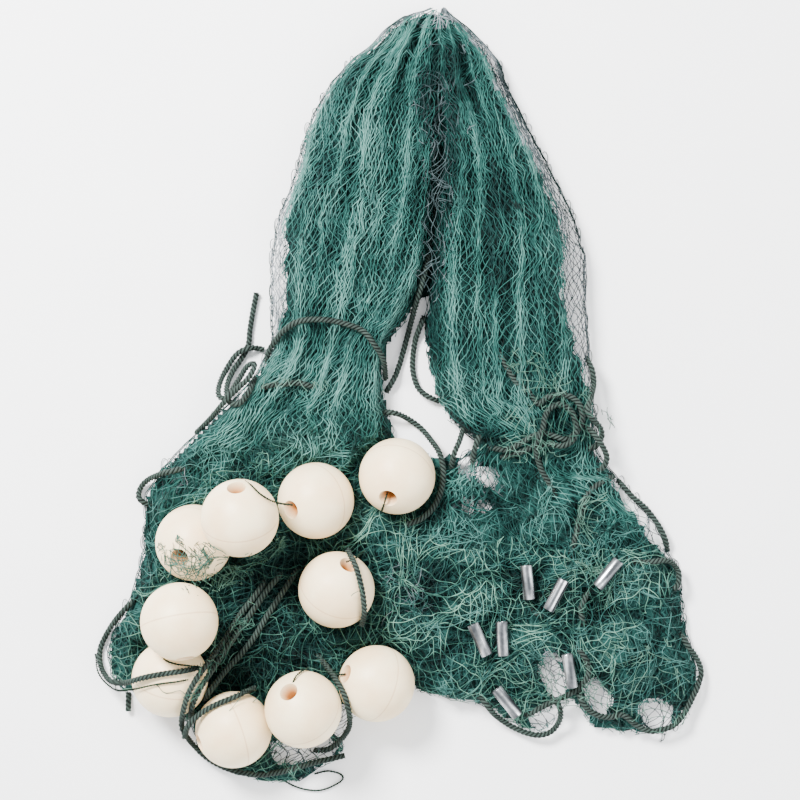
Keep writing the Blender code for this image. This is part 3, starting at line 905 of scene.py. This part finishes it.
def turned(name, profile, steps):
    """A closed half section turned about Z."""
    data = bpy.data.meshes.new(name)
    edges = [(i, (i + 1) % len(profile)) for i in range(len(profile))]
    data.from_pydata([(radius, 0.0, height) for radius, height in profile], edges, [])
    piece = linked(name, data)
    take_up(piece)
    apply_modifier(
        piece, "SCREW", steps=steps, render_steps=steps, use_merge_vertices=True, merge_threshold=0.0001,
    )
    bpy.ops.object.mode_set(mode="EDIT")
    bpy.ops.mesh.select_all(action="SELECT")
    bpy.ops.mesh.normals_make_consistent(inside=False)
    bpy.ops.object.mode_set(mode="OBJECT")
    bpy.ops.object.shade_smooth_by_angle(angle=math.radians(50))
    return piece


def build_floats(finish):
    """Each float is turned about its bore and set at the frame's place and angle."""
    for name, bore in FLOAT_BORES.items():
        low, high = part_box(name)
        ball = turned(name, float_profile(), 44)
        x, y, z = places_of(ball).T
        depth = np.sqrt(FLOAT_RADIUS**2 - x**2 - y**2) - np.abs(z)
        on_points(ball, "bore", np.clip(depth / FLOAT_FUNNEL_DEPTH, 0, 1) ** 0.7)
        turn = Vector(bore).to_track_quat("Z", "Y").to_matrix().to_4x4()
        turn.translation = (low + high) / 2
        ball.data.transform(turn)
        finished(ball, name + "_ball", finish)
        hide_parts(name)


def build_sinkers(finish):
    """Sheet lead rolled into a tube: a slit along its length, a wall, soft rims and a few dents."""
    for number, (name, (turn, slit)) in enumerate(SINKER_TURNS.items()):
        low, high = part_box(name)
        bpy.ops.mesh.primitive_cylinder_add(
            vertices=36, radius=SINKER_RADIUS, depth=SINKER_LENGTH, end_fill_type="NOTHING",
        )
        tube = bpy.context.active_object
        select_only(tube, "FACE", [face.index == 0 for face in tube.data.polygons])
        bpy.ops.mesh.delete(type="FACE")
        bpy.ops.object.mode_set(mode="OBJECT")
        ends = [[tube.data.vertices[v].co.z for v in edge.vertices] for edge in tube.data.edges]
        select_only(tube, "EDGE", [abs(first - last) > SINKER_LENGTH / 2 for first, last in ends])
        bpy.ops.mesh.subdivide(number_cuts=6)
        bpy.ops.object.mode_set(mode="OBJECT")
        apply_modifier(tube, "SOLIDIFY", thickness=SINKER_WALL, offset=-1.0)
        apply_modifier(
            tube, "BEVEL", width=SINKER_RIM, segments=2, limit_method="ANGLE",
            angle_limit=math.radians(50),
        )
        dent = wave_field(DENT_SEED + number, 0.008, 0.022)
        ridge = wave_field(STREAK_SEED + number, 0.004, 0.009)
        places = places_of(tube)
        x, y, z = places.T
        around = np.arctan2(y, x)
        # Streaks round the tube that the lead's material paints as highlights along its length.
        streak = 0.42 + 0.26 * ridge(0.12 * z, around * SINKER_RADIUS)
        on_points(tube, "streak", np.clip(streak, 0, 1))
        push = 1 - 0.035 * np.maximum(dent(0.3 * z, around * 0.006), 0)
        places[:, :2] *= push[:, None]
        tube.data.vertices.foreach_set("co", places.ravel())
        bpy.ops.object.shade_smooth_by_angle(angle=math.radians(40))
        spin = Matrix.Rotation(math.radians(180 + slit), 4, "Z")
        lay = Matrix.Rotation(math.radians(turn), 4, "Z") @ Matrix.Rotation(math.pi / 2, 4, "Y")
        tube.data.transform(Matrix.Translation((low + high) / 2) @ lay @ spin)
        finished(tube, name + "_roll", finish)
        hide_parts(name)


# ---------------------------------------------------------------- shape of the gathered net

def oval_reach(x, y, oval):
    """How far places lie from an oval's middle, as a share of its size; oval is in millimetres."""
    cx, cy, half_length, half_width, turn = oval
    angle = math.radians(turn)
    dx, dy = x - cx * MM, y - cy * MM
    along = dx * math.cos(angle) + dy * math.sin(angle)
    across = dy * math.cos(angle) - dx * math.sin(angle)
    return np.sqrt((along / half_length) ** 2 + (across / half_width) ** 2) / MM


class Ground:
    """The gathered net read from the frame on an even grid: height, folds, edges, and the tone that
    paints light and shade on the twine.
    """

    def __init__(self):
        self.xs = np.arange(GRID_X[0], GRID_X[1] + GRID_PITCH / 2, GRID_PITCH)
        self.ys = np.arange(GRID_Y[0], GRID_Y[1] + GRID_PITCH / 2, GRID_PITCH)
        self.x, self.y = np.meshgrid(self.xs, self.ys)
        self.height = self.cast(["netting"])
        inside = self.height > 0
        table = np.array(SPLIT[::-1], float) * MM
        self.split = np.interp(self.ys, table[:, 0], table[:, 1])
        self.left_outer, self.left_inner, self.right_inner, self.right_outer = self.edges(inside)
        self.rim = self.depth_inside(inside)
        self.edge = self.edge_depth()
        self.open = self.openness()
        self.fold = self.folds()
        self.tone = self.tones()
        balls = [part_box(name) for name in FLOAT_BORES]
        self.balls = [(low + high) / 2 for low, high in balls]
        covered = ["netting"] + list(ROPES) + list(THIN_CORDS) + list(FLOAT_BORES)
        self.cover = self.draped(self.cast(covered))

    def cast(self, nodes):
        """Height of the highest of these nodes over each place of the grid."""
        height = np.zeros(self.x.shape)
        down = Vector((0, 0, -1))
        for node in nodes:
            tree = tree_of(node)
            low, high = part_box(node)
            columns = np.flatnonzero((self.xs >= low.x) & (self.xs <= high.x))
            for j in np.flatnonzero((self.ys >= low.y) & (self.ys <= high.y)):
                for i in columns:
                    hit = tree.ray_cast(Vector((self.xs[i], self.ys[j], 1.0)), down)[0]
                    if hit is not None and hit.z > height[j, i]:
                        height[j, i] = hit.z
        return height

    def draped(self, tops):
        """A slack skin over these heights, which spans the hollows beside each float and rope."""
        skin = tops.copy()
        for _ in range(45):
            mean = np.zeros(skin.shape)
            beside = skin[1:-1, 2:] + skin[1:-1, :-2]
            mean[1:-1, 1:-1] = (skin[2:, 1:-1] + skin[:-2, 1:-1] + beside) / 4
            skin = np.maximum(tops, mean)
        return skin

    def edges(self, inside):
        """The x of both outer and both inner edges at each y of the grid."""
        lines = np.full((4, len(self.ys)), np.nan)
        for j, middle in enumerate(self.split):
            left = self.xs[inside[j] & (self.xs < middle)]
            right = self.xs[inside[j] & (self.xs >= middle)]
            if len(left):
                lines[0, j], lines[1, j] = left.min(), left.max()
            if len(right):
                lines[2, j], lines[3, j] = right.min(), right.max()
        order = np.arange(len(self.ys))
        for line in lines:
            known = ~np.isnan(line)
            line[:] = softened(np.interp(order, order[known], line[known]), 2)
        return lines

    def leg_edges(self, right, y):
        """The x of the outer and the inner edge of one leg at these places."""
        lines = (self.right_outer, self.right_inner) if right else (self.left_outer, self.left_inner)
        return [np.interp(y, self.ys, line) for line in lines]

    def own_side(self, right, x, y, lap):
        """Whether places are on their own side of the line between the legs, or just over it."""
        inner = self.leg_edges(right, y)[1]
        return (x - inner if right else inner - x) + lap > 0

    def depth_inside(self, inside):
        """Distance from the outline, grown inwards one grid step at a time; below 0 outside."""
        depth = np.where(inside, 0.0, -0.010)
        left = inside.copy()
        for step in range(24):
            depth += left * GRID_PITCH
            near = left.copy()
            near[1:] &= left[:-1]
            near[:-1] &= left[1:]
            near[:, 1:] &= left[:, :-1]
            near[:, :-1] &= left[:, 1:]
            if step % 2:
                near[1:, 1:] &= left[:-1, :-1]
                near[:-1, :-1] &= left[1:, 1:]
                near[1:, :-1] &= left[:-1, 1:]
                near[:-1, 1:] &= left[1:, :-1]
            left = near
        return depth

    def edge_depth(self):
        """Distance inside the part of the net where many layers lie; below 0 outside it."""
        table = np.array(FRINGE[::-1], float) * MM
        ragged = 0.0016 * wave_field(RAGGED_EDGE_SEED, 0.012, 0.03)(self.x, self.y)
        left = np.interp(self.ys, table[:, 0], table[:, 1])
        right = np.interp(self.ys, table[:, 0], table[:, 2])
        depth = np.minimum(self.rim + 0.001, self.x - (self.left_outer + left)[:, None])
        return np.minimum(depth, (self.right_outer - right)[:, None] - self.x) + ragged

    def openness(self):
        """Distance outside the clearings, with a ragged edge; below 0 in them."""
        away = np.full(self.x.shape, 1.0)
        for oval in CLEARINGS:
            away = np.minimum(away, (oval_reach(self.x, self.y, oval) - 1) * min(oval[2:4]) * MM)
        return away + 0.0022 * wave_field(RAGGED_OPEN_SEED, 0.012, 0.035)(self.x, self.y)

    def folds(self):
        """Long folds down the legs, and round puffs with creases between them over the skirts."""
        right = self.x > self.split[:, None]
        outer, inner = (
            np.where(right, a[:, None], b[:, None])
            for a, b in ((self.right_outer, self.left_outer), (self.right_inner, self.left_inner))
        )
        share = (self.x - outer) / (inner - outer) + 3.3 * right
        sway = wave_field(FOLD_SEEDS[0], 0.12, 0.30)(self.x, self.y)
        legs = np.zeros(self.x.shape)
        for count, phase, slant, part in LEG_FOLDS:
            legs += part * np.sin(2 * math.pi * count * share + phase + slant * self.y + 1.1 * sway)
        puffs = wave_field(FOLD_SEEDS[1], 0.085, 0.17)(self.x, self.y)
        small = wave_field(FOLD_SEEDS[2], 0.035, 0.07)(self.x, self.y)
        puffs = 0.45 * (2 * np.clip(np.abs(puffs + 0.25 * small) * 1.7, 0, 1) - 1)
        for oval in PUFFS:
            reach = oval_reach(self.x, self.y, oval) + 0.10 * small
            puffs += np.clip(1 - reach**2, 0, 1) - 1.1 * np.exp(-(((reach - 1) / 0.16) ** 2))
        skirt = below(0.0, 0.11, self.y)
        return np.clip(legs, -1.2, 1.2) * (1 - skirt) + np.clip(puffs, -1.3, 1.2) * skirt

    def tones(self):
        """Painted light and shade on the twine: painted light on the folds, painted shade in creases and
        deep hollows.
        """
        broad = wave_field(TONE_SEED, 0.05, 0.14)(self.x, self.y)
        tone = 0.56 + 0.24 * self.fold + 0.07 * broad
        for *oval, strength in SHADOWS:
            tone -= strength * np.exp(-1.3 * oval_reach(self.x, self.y, oval) ** 2)
        return np.clip(tone, 0.0, 1.0)

    def sample(self, grid, x, y):
        """Values of a grid between its points."""
        u = np.clip((x - self.xs[0]) / GRID_PITCH, 0, len(self.xs) - 1.001)
        v = np.clip((y - self.ys[0]) / GRID_PITCH, 0, len(self.ys) - 1.001)
        i, j = u.astype(int), v.astype(int)
        u, v = u - i, v - j
        top = grid[j + 1, i] * (1 - u) + grid[j + 1, i + 1] * u
        return (grid[j, i] * (1 - u) + grid[j, i + 1] * u) * (1 - v) + top * v

    def covers(self, x, y, inset, gap):
        """Whether places are this far inside the edge and this far outside the clearings."""
        gap = np.where(y < BARE_BELOW, 0.25, 1.0) * gap
        return (self.sample(self.edge, x, y) > inset) & (self.sample(self.open, x, y) > gap)

    def folded(self):
        return self.height + FOLD_RISE * self.fold

    def drawn_to_edge(self, depths, x, y):
        """Slides places just outside the bulk's edge on to it, so that its outline is smooth."""
        slope = [self.sample(part, x, y) for part in np.gradient(softened_grid(depths), GRID_PITCH)]
        steep = np.maximum(np.hypot(*slope), 0.2)
        for _ in range(3):
            depth = self.sample(depths, x, y)
            missing = BULK_INSET - depth
            pull = np.where((missing > 0) & (missing < 1.3 * BULK_PITCH), missing, 0.0)
            x, y = x + pull * slope[1] / steep, y + pull * slope[0] / steep
        return x, y, self.sample(depths, x, y)

    def to_ridges(self, x, y, reach):
        """Draws places a little way up the folds, so that twines gather on their crowns."""
        side = 0.003
        ahead, behind = self.sample(self.fold, x + side, y), self.sample(self.fold, x - side, y)
        return x + reach * np.clip(ahead - behind, -1, 1)

    def clear_of_floats(self, x, y, z, gap=0.0022):
        """Pushes points out of the floats: down under them, or sideways off their waist."""
        for ball in self.balls:
            away = np.stack([x - ball.x, y - ball.y, z - ball.z])
            distance = np.sqrt((away**2).sum(axis=0))
            near = distance < FLOAT_RADIUS + gap
            scale = (FLOAT_RADIUS + gap) / np.maximum(distance, 1e-6)
            x = np.where(near, ball.x + away[0] * scale, x)
            y = np.where(near, ball.y + away[1] * scale, y)
            z = np.where(near, ball.z + away[2] * scale, z)
        return x, y, z


# ---------------------------------------------------------------- knotted mesh

def twines_of(knots):
    """The knots on each slanting line of the mesh, and last whether each is in the net (1 or 0)."""
    rows, columns = knots.shape[:2]
    row = np.arange(rows)
    first = np.arange(-(rows // 2), columns)
    ahead = first[:, None] + row // 2
    back = (columns - 1 - first)[:, None] - (row + 1) // 2
    column = np.vstack([ahead, back])
    real = (column >= 0) & (column < columns)
    picked = knots[row[None, :], np.clip(column, 0, columns - 1)]
    return np.concatenate([picked, real[:, :, None]], axis=2)


def drawn_out(twines, parts):
    """Points along each line of mesh, this many to each side of a cell, a channel at a time."""
    share = (np.arange(parts) / parts)[None, None, :, None]
    body = twines[:, :-1, None] + (twines[:, 1:] - twines[:, :-1])[:, :, None] * share
    points = np.concatenate([body.reshape(len(twines), -1, twines.shape[2]), twines[:, -1:]], axis=1)
    return np.moveaxis(points, 2, 0)


def slackened(line):
    """Twines' points, each drawn towards its neighbours so that the twines bend smoothly."""
    line = line.copy()
    line[:, 1:-1] = 0.5 * line[:, 1:-1] + 0.25 * (line[:, :-2] + line[:, 2:])
    return line


def kept_runs(x, y, z, thick, tone, keep):
    """The stretches of a twine, above the floor, whose points are all kept and close together."""
    points = np.column_stack([x, y, np.maximum(z, LOWEST_TWINE)])
    keep = keep & (np.linalg.norm(np.diff(points, axis=0, prepend=points[:1]), axis=1) < LONGEST_STEP)
    edges = np.flatnonzero(np.diff(np.r_[False, keep, False].astype(int)))
    return [
        (points[first:last], thick[first:last], tone[first:last])
        for first, last in zip(edges[::2], edges[1::2]) if last - first >= SHORTEST_RUN
    ]


def laid_runs(ground, x, y, z, keep, parts, rng, shade=0.0, least=0.0):
    """Twines over these places, cut to what is kept, thick at each knot, each of its own tone over the
    ground's painted light and shade.
    """
    tone = least + (1 - least) * ground.sample(ground.tone, x, y)
    tone = tone + rng.normal(0, TWINE_SHADE, (len(x), 1)) + shade
    tone = np.clip(tone + rng.normal(0, 0.05, x.shape), 0, 1)
    thick = np.full(x.shape[1], 0.92)
    thick[::parts] = 1.28
    runs = []
    for px, py, pz, shades, kept in zip(x, y, z, tone, keep):
        runs += kept_runs(px, py, pz, thick, shades, kept)
    return runs


def twine_piece(name, runs, radius, finish):
    paths, radii, tones = zip(*runs)
    piece = swept(name, paths, ring_points(radius, 3), radii=radii, tones=list(tones))
    return finished(piece, name, finish)


def row_levels(top, bottom):
    """The y of each row of knots: long cells in the legs, shorter ones where the mesh opens."""
    levels = [top]
    while levels[-1] > bottom:
        y = levels[-1]
        share = np.clip((y + 0.10) / 0.12, 0, 1)
        levels.append(y - (LEG_ROW * share + SKIRT_ROW * (1 - share)))
    return np.array(levels)


class Flow:
    """A layer whose twines run down from the crown, through the ties and out over the skirts."""

    def __init__(self, ground, seed, wander, fan, bunching):
        self.ground = ground
        self.rng = np.random.default_rng(seed)
        self.wander = wander
        self.fan = fan
        self.bunching = bunching
        self.drift = [wave_field(seed * 10 + k, 0.045, 0.12) for k in range(2)]
        self.waver = wave_field(seed * 10 + 2, 0.012, 0.030)
        self.ripple = wave_field(seed * 10 + 3, 0.018, 0.05)
        draw = self.rng
        self.bunches = [
            (draw.integers(3, 9), draw.uniform(0, 6.28), draw.uniform(-9, 9)) for _ in range(4)
        ]

    def place(self, right, share, y):
        """Where a place at this share of the leg's width lies on the ground."""
        pinned = np.clip(5 * share * (1 - share), 0, 1)
        bunched = share
        for waves, phase, slant in self.bunches:
            turn = 2 * math.pi * waves * share + phase + slant * y
            bunched = bunched + pinned * self.bunching / waves * np.sin(turn)
        outer, inner = self.ground.leg_edges(right, y)
        width = np.abs(inner - outer)
        fan = self.fan * np.clip((y - 0.24) / 0.08, 0, 1)
        width = np.sign(inner - outer) * width ** (1 - fan) * CROWN_WIDTH**fan
        x = 0.5 * (outer + inner) + (bunched - 0.5) * width
        skirt = below(0.02, 0.10, y)
        wander = self.wander[0] * (1 - skirt) + self.wander[1] * skirt
        fine = (0.0011 + 0.0012 * skirt) * self.waver(x, y)
        x, y = x + wander * pinned * self.drift[0](x, y) + fine, y + wander * self.drift[1](x, y)
        return self.ground.to_ridges(x, y, 0.0022 * (1 - skirt)), y

    def leg_runs(self, right, columns, parts, lap, covers, lift, levels, least):
        """Every twine of one leg and its skirt."""
        g, rows = self.ground, len(levels)
        share = (np.arange(columns)[None, :] + 0.5 * (np.arange(rows) % 2)[:, None]) / (columns - 0.5)
        share = share + self.rng.normal(0, JITTER / columns, share.shape)
        y = levels[:, None] + self.rng.normal(0, JITTER * LEG_ROW, share.shape)
        rise = self.rng.normal(0, KNOT_RISE, share.shape)
        knots = np.stack([np.clip(share, 0, 1), y, rise], axis=2)
        share, y, rise, real = drawn_out(twines_of(knots), parts)
        x, y = self.place(right, share, y)
        z = g.sample(g.folded(), x, y) + lift + LAYER_RIPPLE * self.ripple(x, y) + rise
        kept = covers(right, x, y) & g.own_side(right, x, y, lap) & (real > 0.99)
        x, y, z = g.clear_of_floats(x, y, z)
        # Painted shade under the heaps in the skirts.
        shade = SKIRT_SHADE * below(-0.02, 0.12, y)
        return laid_runs(g, x, y, z, kept, parts, self.rng, shade, least)

    def runs(self, *settings):
        """Every twine of both legs and skirts."""
        return self.leg_runs(False, *settings) + self.leg_runs(True, *settings)


def build_flow_layers(ground, finishes):
    """The layers that run the whole length of the net."""
    pieces = []
    levels = row_levels(TOP_ROW, BOTTOM_ROW)
    for number, (lift, inset, gap, lowest, wander, columns, parts, radius) in enumerate(FLOW_LAYERS):
        layer = Flow(ground, FLOW_SEED + number, wander, 0.5, BUNCHING)
        end = wave_field(FLOW_END_SEED + number, 0.03, 0.09)

        def covers(right, x, y):
            return ground.covers(x, y, inset, gap) & (y > lowest[right] + 0.016 * end(x, y))

        runs = layer.runs(columns, parts, OWN_SIDE_LAP, covers, lift, levels, FLOW_LEAST[number])
        pieces.append(twine_piece("mesh_layer_" + str(number + 1), runs, radius, finishes[number]))
    return pieces


def lattice(ground, seed, turn, cell, lift, warp, keep, surface, middle=HEAP_MIDDLE):
    """Open mesh that lies in smooth loops: an even lattice, warped as loose netting slips."""
    rng = np.random.default_rng(seed)
    drift = [wave_field(seed * 10 + k, 0.050, 0.12) for k in range(2)]
    fine = [wave_field(seed * 10 + 2 + k, 0.016, 0.040) for k in range(2)]
    ripple = wave_field(seed * 10 + 5, 0.02, 0.06)
    half_length, half_width = LATTICE_HALF
    rows = int(2 * half_width / (cell[1] / 2))
    columns = int(2 * half_length / cell[0])
    offset = 0.5 * (np.arange(rows) % 2)[:, None]
    u = (np.arange(columns)[None, :] + offset) * cell[0] - half_length
    v = half_width - np.arange(rows)[:, None] * cell[1] / 2 + 0 * u
    u = u + rng.normal(0, HEAP_JITTER * cell[0], u.shape)
    v = v + rng.normal(0, HEAP_JITTER * cell[1], v.shape)
    knots = np.stack([u, v, rng.normal(0, HEAP_KNOT_RISE, u.shape)], axis=2)
    u, v, rise, real = drawn_out(twines_of(knots), HEAP_PARTS)
    angle = math.radians(turn)
    x = u * math.cos(angle) - v * math.sin(angle)
    y = middle + u * math.sin(angle) + v * math.cos(angle)
    x, y = (
        x + warp * drift[0](x, y) + FINE_WARP * fine[0](x, y),
        y + warp * drift[1](x, y) + FINE_WARP * fine[1](x, y),
    )
    x, y = slackened(x), slackened(y)
    z = ground.sample(surface, x, y) + lift + HEAP_RIPPLE * ripple(x, y) + rise
    return x, y, z, keep(x, y) & (real > 0.99), rng


def patch_runs(ground, x, y, z, kept, rng, shade, least=0.0):
    """Runs of the lattice's twines that cross a patch."""
    rows = kept.any(axis=1)
    return laid_runs(ground, x[rows], y[rows], z[rows], kept[rows], HEAP_PARTS, rng, shade, least)


def build_heap_layers(ground, finishes):
    """Loose open mesh that lies in curls over both skirts."""
    pieces = []
    for number, (tops, gap, turn, cell, lift, warp, shade, radius) in enumerate(HEAP_LAYERS):
        end = wave_field(HEAP_END_SEED + number, 0.03, 0.09)

        def keep(x, y):
            start = np.where(x > np.interp(y, ground.ys, ground.split), tops[1], tops[0])
            return ground.covers(x, y, 0.001, gap) & (y < start + 0.014 * end(x, y))

        x, y, z, kept, rng = lattice(
            ground, HEAP_SEED + number, turn, cell, lift, warp, keep, ground.folded(),
        )
        x, y, z = ground.clear_of_floats(x, y, z)
        runs = laid_runs(ground, x, y, z, kept, HEAP_PARTS, rng, shade, HEAP_LEAST)
        pieces.append(twine_piece("heap_mesh_" + str(number + 1), runs, radius, finishes[number]))
    return pieces


def build_veils(ground, name, veils, finish):
    """Strands of mesh that lie over floats, ropes and the crease, as a slack skin."""
    runs = []
    for number, (*oval, turn, cell, shade) in enumerate(veils):
        ragged = wave_field(VEIL_EDGE_SEED + number, 0.015, 0.04)

        def keep(x, y):
            return oval_reach(x, y, oval) + 0.22 * ragged(x, y) < 1

        x, y, z, kept, rng = lattice(
            ground, VEIL_SEED + number, turn, (cell * MM, 1.15 * cell * MM), VEIL_LIFT, VEIL_WARP,
            keep, ground.cover, oval[1] * MM,
        )
        kept &= np.abs(np.diff(z, axis=1, prepend=z[:, :1])) < STEEPEST_STEP
        runs += patch_runs(ground, x, y, z, kept, rng, shade, VEIL_LEAST)
    return twine_piece(name, runs, VEIL_TWINE, finish)


def fringe_layers(ground, finish):
    """The single pale layer along the outer edges and over the clearings, denser at the crown."""
    levels = row_levels(FRINGE_TOP_ROW, BOTTOM_ROW)
    pieces = []
    for number, (columns, lowest) in enumerate(FRINGE_LAYERS):
        layer = Flow(ground, FRINGE_SEED + number, FRINGE_WANDER, 0.0, FRINGE_BUNCHING)

        def covers(right, x, y):
            thin = np.minimum(ground.sample(ground.edge, x, y), ground.sample(ground.open, x, y))
            return (thin < 0.006) & (ground.sample(ground.rim, x, y) > 0.0) & (y > lowest)

        runs = layer.runs(columns, 2, FRINGE_LAP, covers, 0.0, levels, 0.0)
        if number:
            tuft = lattice(
                ground, TUFT_SEED, 20, (0.006, 0.007), 0.003, 0.004,
                lambda x, y: oval_reach(x, y, CROWN_TUFT) < 1, ground.height, CROWN_TUFT[1] * MM,
            )
            runs += patch_runs(ground, *tuft, 0.35)
        pieces.append(twine_piece("fringe_mesh_" + str(number + 1), runs, FRINGE_TWINE, finish))
    return pieces


def build_edge_twine(ground, finish):
    """Two dark twines along each outer edge, with slack loops that stray out of them."""
    runs = []
    rng = np.random.default_rng(EDGE_SEED)
    for right, inwards in ((False, 1), (True, -1)):
        y = np.arange(0.400, -0.40, -EDGE_STEP)
        outer = ground.leg_edges(right, y)[0]
        for offset in (0.0012, 0.0030):
            x = outer + inwards * (offset + 0.0008 * wave_field(EDGE_WAVE_SEED, 0.01, 0.03)(outer, y))
            z = np.maximum(ground.sample(ground.height, x, y), 0.0) + 0.0012
            tone = np.clip(rng.normal(0.4, 0.1, len(y)), 0, 1)
            kept = (ground.sample(ground.rim, x, y) > -0.004) & (np.abs(np.gradient(outer, y)) < 2.5)
            runs += kept_runs(*ground.clear_of_floats(x, y, z), np.ones(len(y)), tone, kept)
        for start in rng.uniform(-0.36, 0.36, STRAY_LOOPS):
            turn = np.linspace(0, math.pi, 9)
            reach, length = rng.uniform(0.002, 0.006), rng.uniform(0.006, 0.016)
            x = ground.leg_edges(right, start)[0] - inwards * (reach * np.sin(turn) - 0.003)
            loop = start + length * np.cos(turn) / 2 + 0.2 * length * np.sin(2 * turn)
            z = 0.0012 + 0.003 * rng.uniform(0, 1) * np.sin(turn)
            x, loop, z = ground.clear_of_floats(x, loop, z)
            points = np.column_stack([x, loop, np.maximum(z, LOWEST_TWINE)])
            runs.append((points, np.full(9, 0.75), np.full(9, 0.5)))
    return twine_piece("edge_twine", runs, EDGE_TWINE, finish)


def build_bulk(ground, finish):
    """The gathered mass under the open layers, painted dark with the shade deep in the net: a creased
    sheet that follows the frame.
    """
    wide, long = GRID_X[1] - GRID_X[0], GRID_Y[1] - GRID_Y[0]
    bpy.ops.mesh.primitive_grid_add(
        x_subdivisions=round(wide / BULK_PITCH), y_subdivisions=round(long / BULK_PITCH), size=1.0,
    )
    sheet = bpy.context.active_object
    points = places_of(sheet)
    x, y = points[:, 0] * wide, points[:, 1] * long
    crease = wave_field(CREASE_SEED, 0.014, 0.04)
    height = ground.sample(ground.folded(), x, y) - BULK_SINK
    height = height + 0.0012 * crease(x, 0.25 * y)
    x, y, depth = ground.drawn_to_edge(np.minimum(ground.edge, ground.open), x, y)
    inward = np.clip(depth / 0.02, 0, 1)
    z = np.maximum(height * np.sqrt(inward * (2 - inward)), LOWEST_BULK)
    x, y, z = ground.clear_of_floats(x, y, z, gap=0.0035)
    sheet.data.vertices.foreach_set("co", np.column_stack([x, y, np.maximum(z, LOWEST_BULK)]).ravel())
    select_only(sheet, "VERT", depth < BULK_INSET - 0.0015)
    bpy.ops.mesh.delete(type="VERT")
    bpy.ops.object.mode_set(mode="OBJECT")
    flow = sheet.data.uv_layers[0] if sheet.data.uv_layers else sheet.data.uv_layers.new()
    flow.name = "flow"
    x, y, _ = places_of(sheet).T
    right = x > np.interp(y, ground.ys, ground.split)
    outer = np.where(right, ground.leg_edges(True, y)[0], ground.leg_edges(False, y)[0])
    skirt = below(0.02, 0.10, y)
    across = np.abs(x - outer) / (0.0042 + 0.004 * skirt) + 60 * right
    along = y / (0.013 - 0.003 * skirt)
    for loop, uv in zip(sheet.data.loops, flow.data):
        uv.uv = (across[loop.vertex_index], along[loop.vertex_index])
    # The ground's painted light and shade, for the deep mesh's colour.
    on_points(sheet, "tone", ground.sample(ground.tone, x, y))
    apply_modifier(sheet, "SOLIDIFY", thickness=BULK_WALL, offset=-1.0)
    sheet.data.shade_smooth()
    finished(sheet, "gathered_bulk", finish)
    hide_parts("netting")
    return sheet


def build_floor():
    bpy.ops.mesh.primitive_grid_add(x_subdivisions=4, y_subdivisions=4, size=FLOOR_SIZE)
    floor = bpy.context.active_object
    floor.name = "floor"
    floor.data.transform(Matrix.Translation((0, 0, -FLOOR_DROP)))
    floor.data.materials.append(floor_material())


def main():
    look_down()
    light_scene()
    rope = rope_material("twisted_rope", (0.0005, 0.0013, 0.0010), (0.034, 0.052, 0.044), 1500.0)
    cord = rope_material("thin_cord", (0.0015, 0.006, 0.004), (0.018, 0.044, 0.028), 3000.0)
    build_cords(rope, cord)
    build_floats(float_material())
    build_sinkers(sinker_material())
    ground = Ground()
    bright, even, dark, loose, veil, grey, pale = (
        twine_material(name, *colors) for name, colors in TWINES.items()
    )
    bulk = build_bulk(ground, bulk_material())
    # The lower layers take the darker copies of the same twine, as painted shade from the layers over
    # them, and the top layers take the lit ones.
    layers = build_flow_layers(ground, (dark, even, bright))
    layers += build_heap_layers(ground, (dark, even, loose))
    layers.append(build_veils(ground, "veil_mesh", VEILS, veil))
    layers.append(build_veils(ground, "crease_mesh", CREASE_VEILS, grey))
    layers += fringe_layers(ground, pale)
    layers.append(build_edge_twine(ground, dark))
    build_floor()


main()
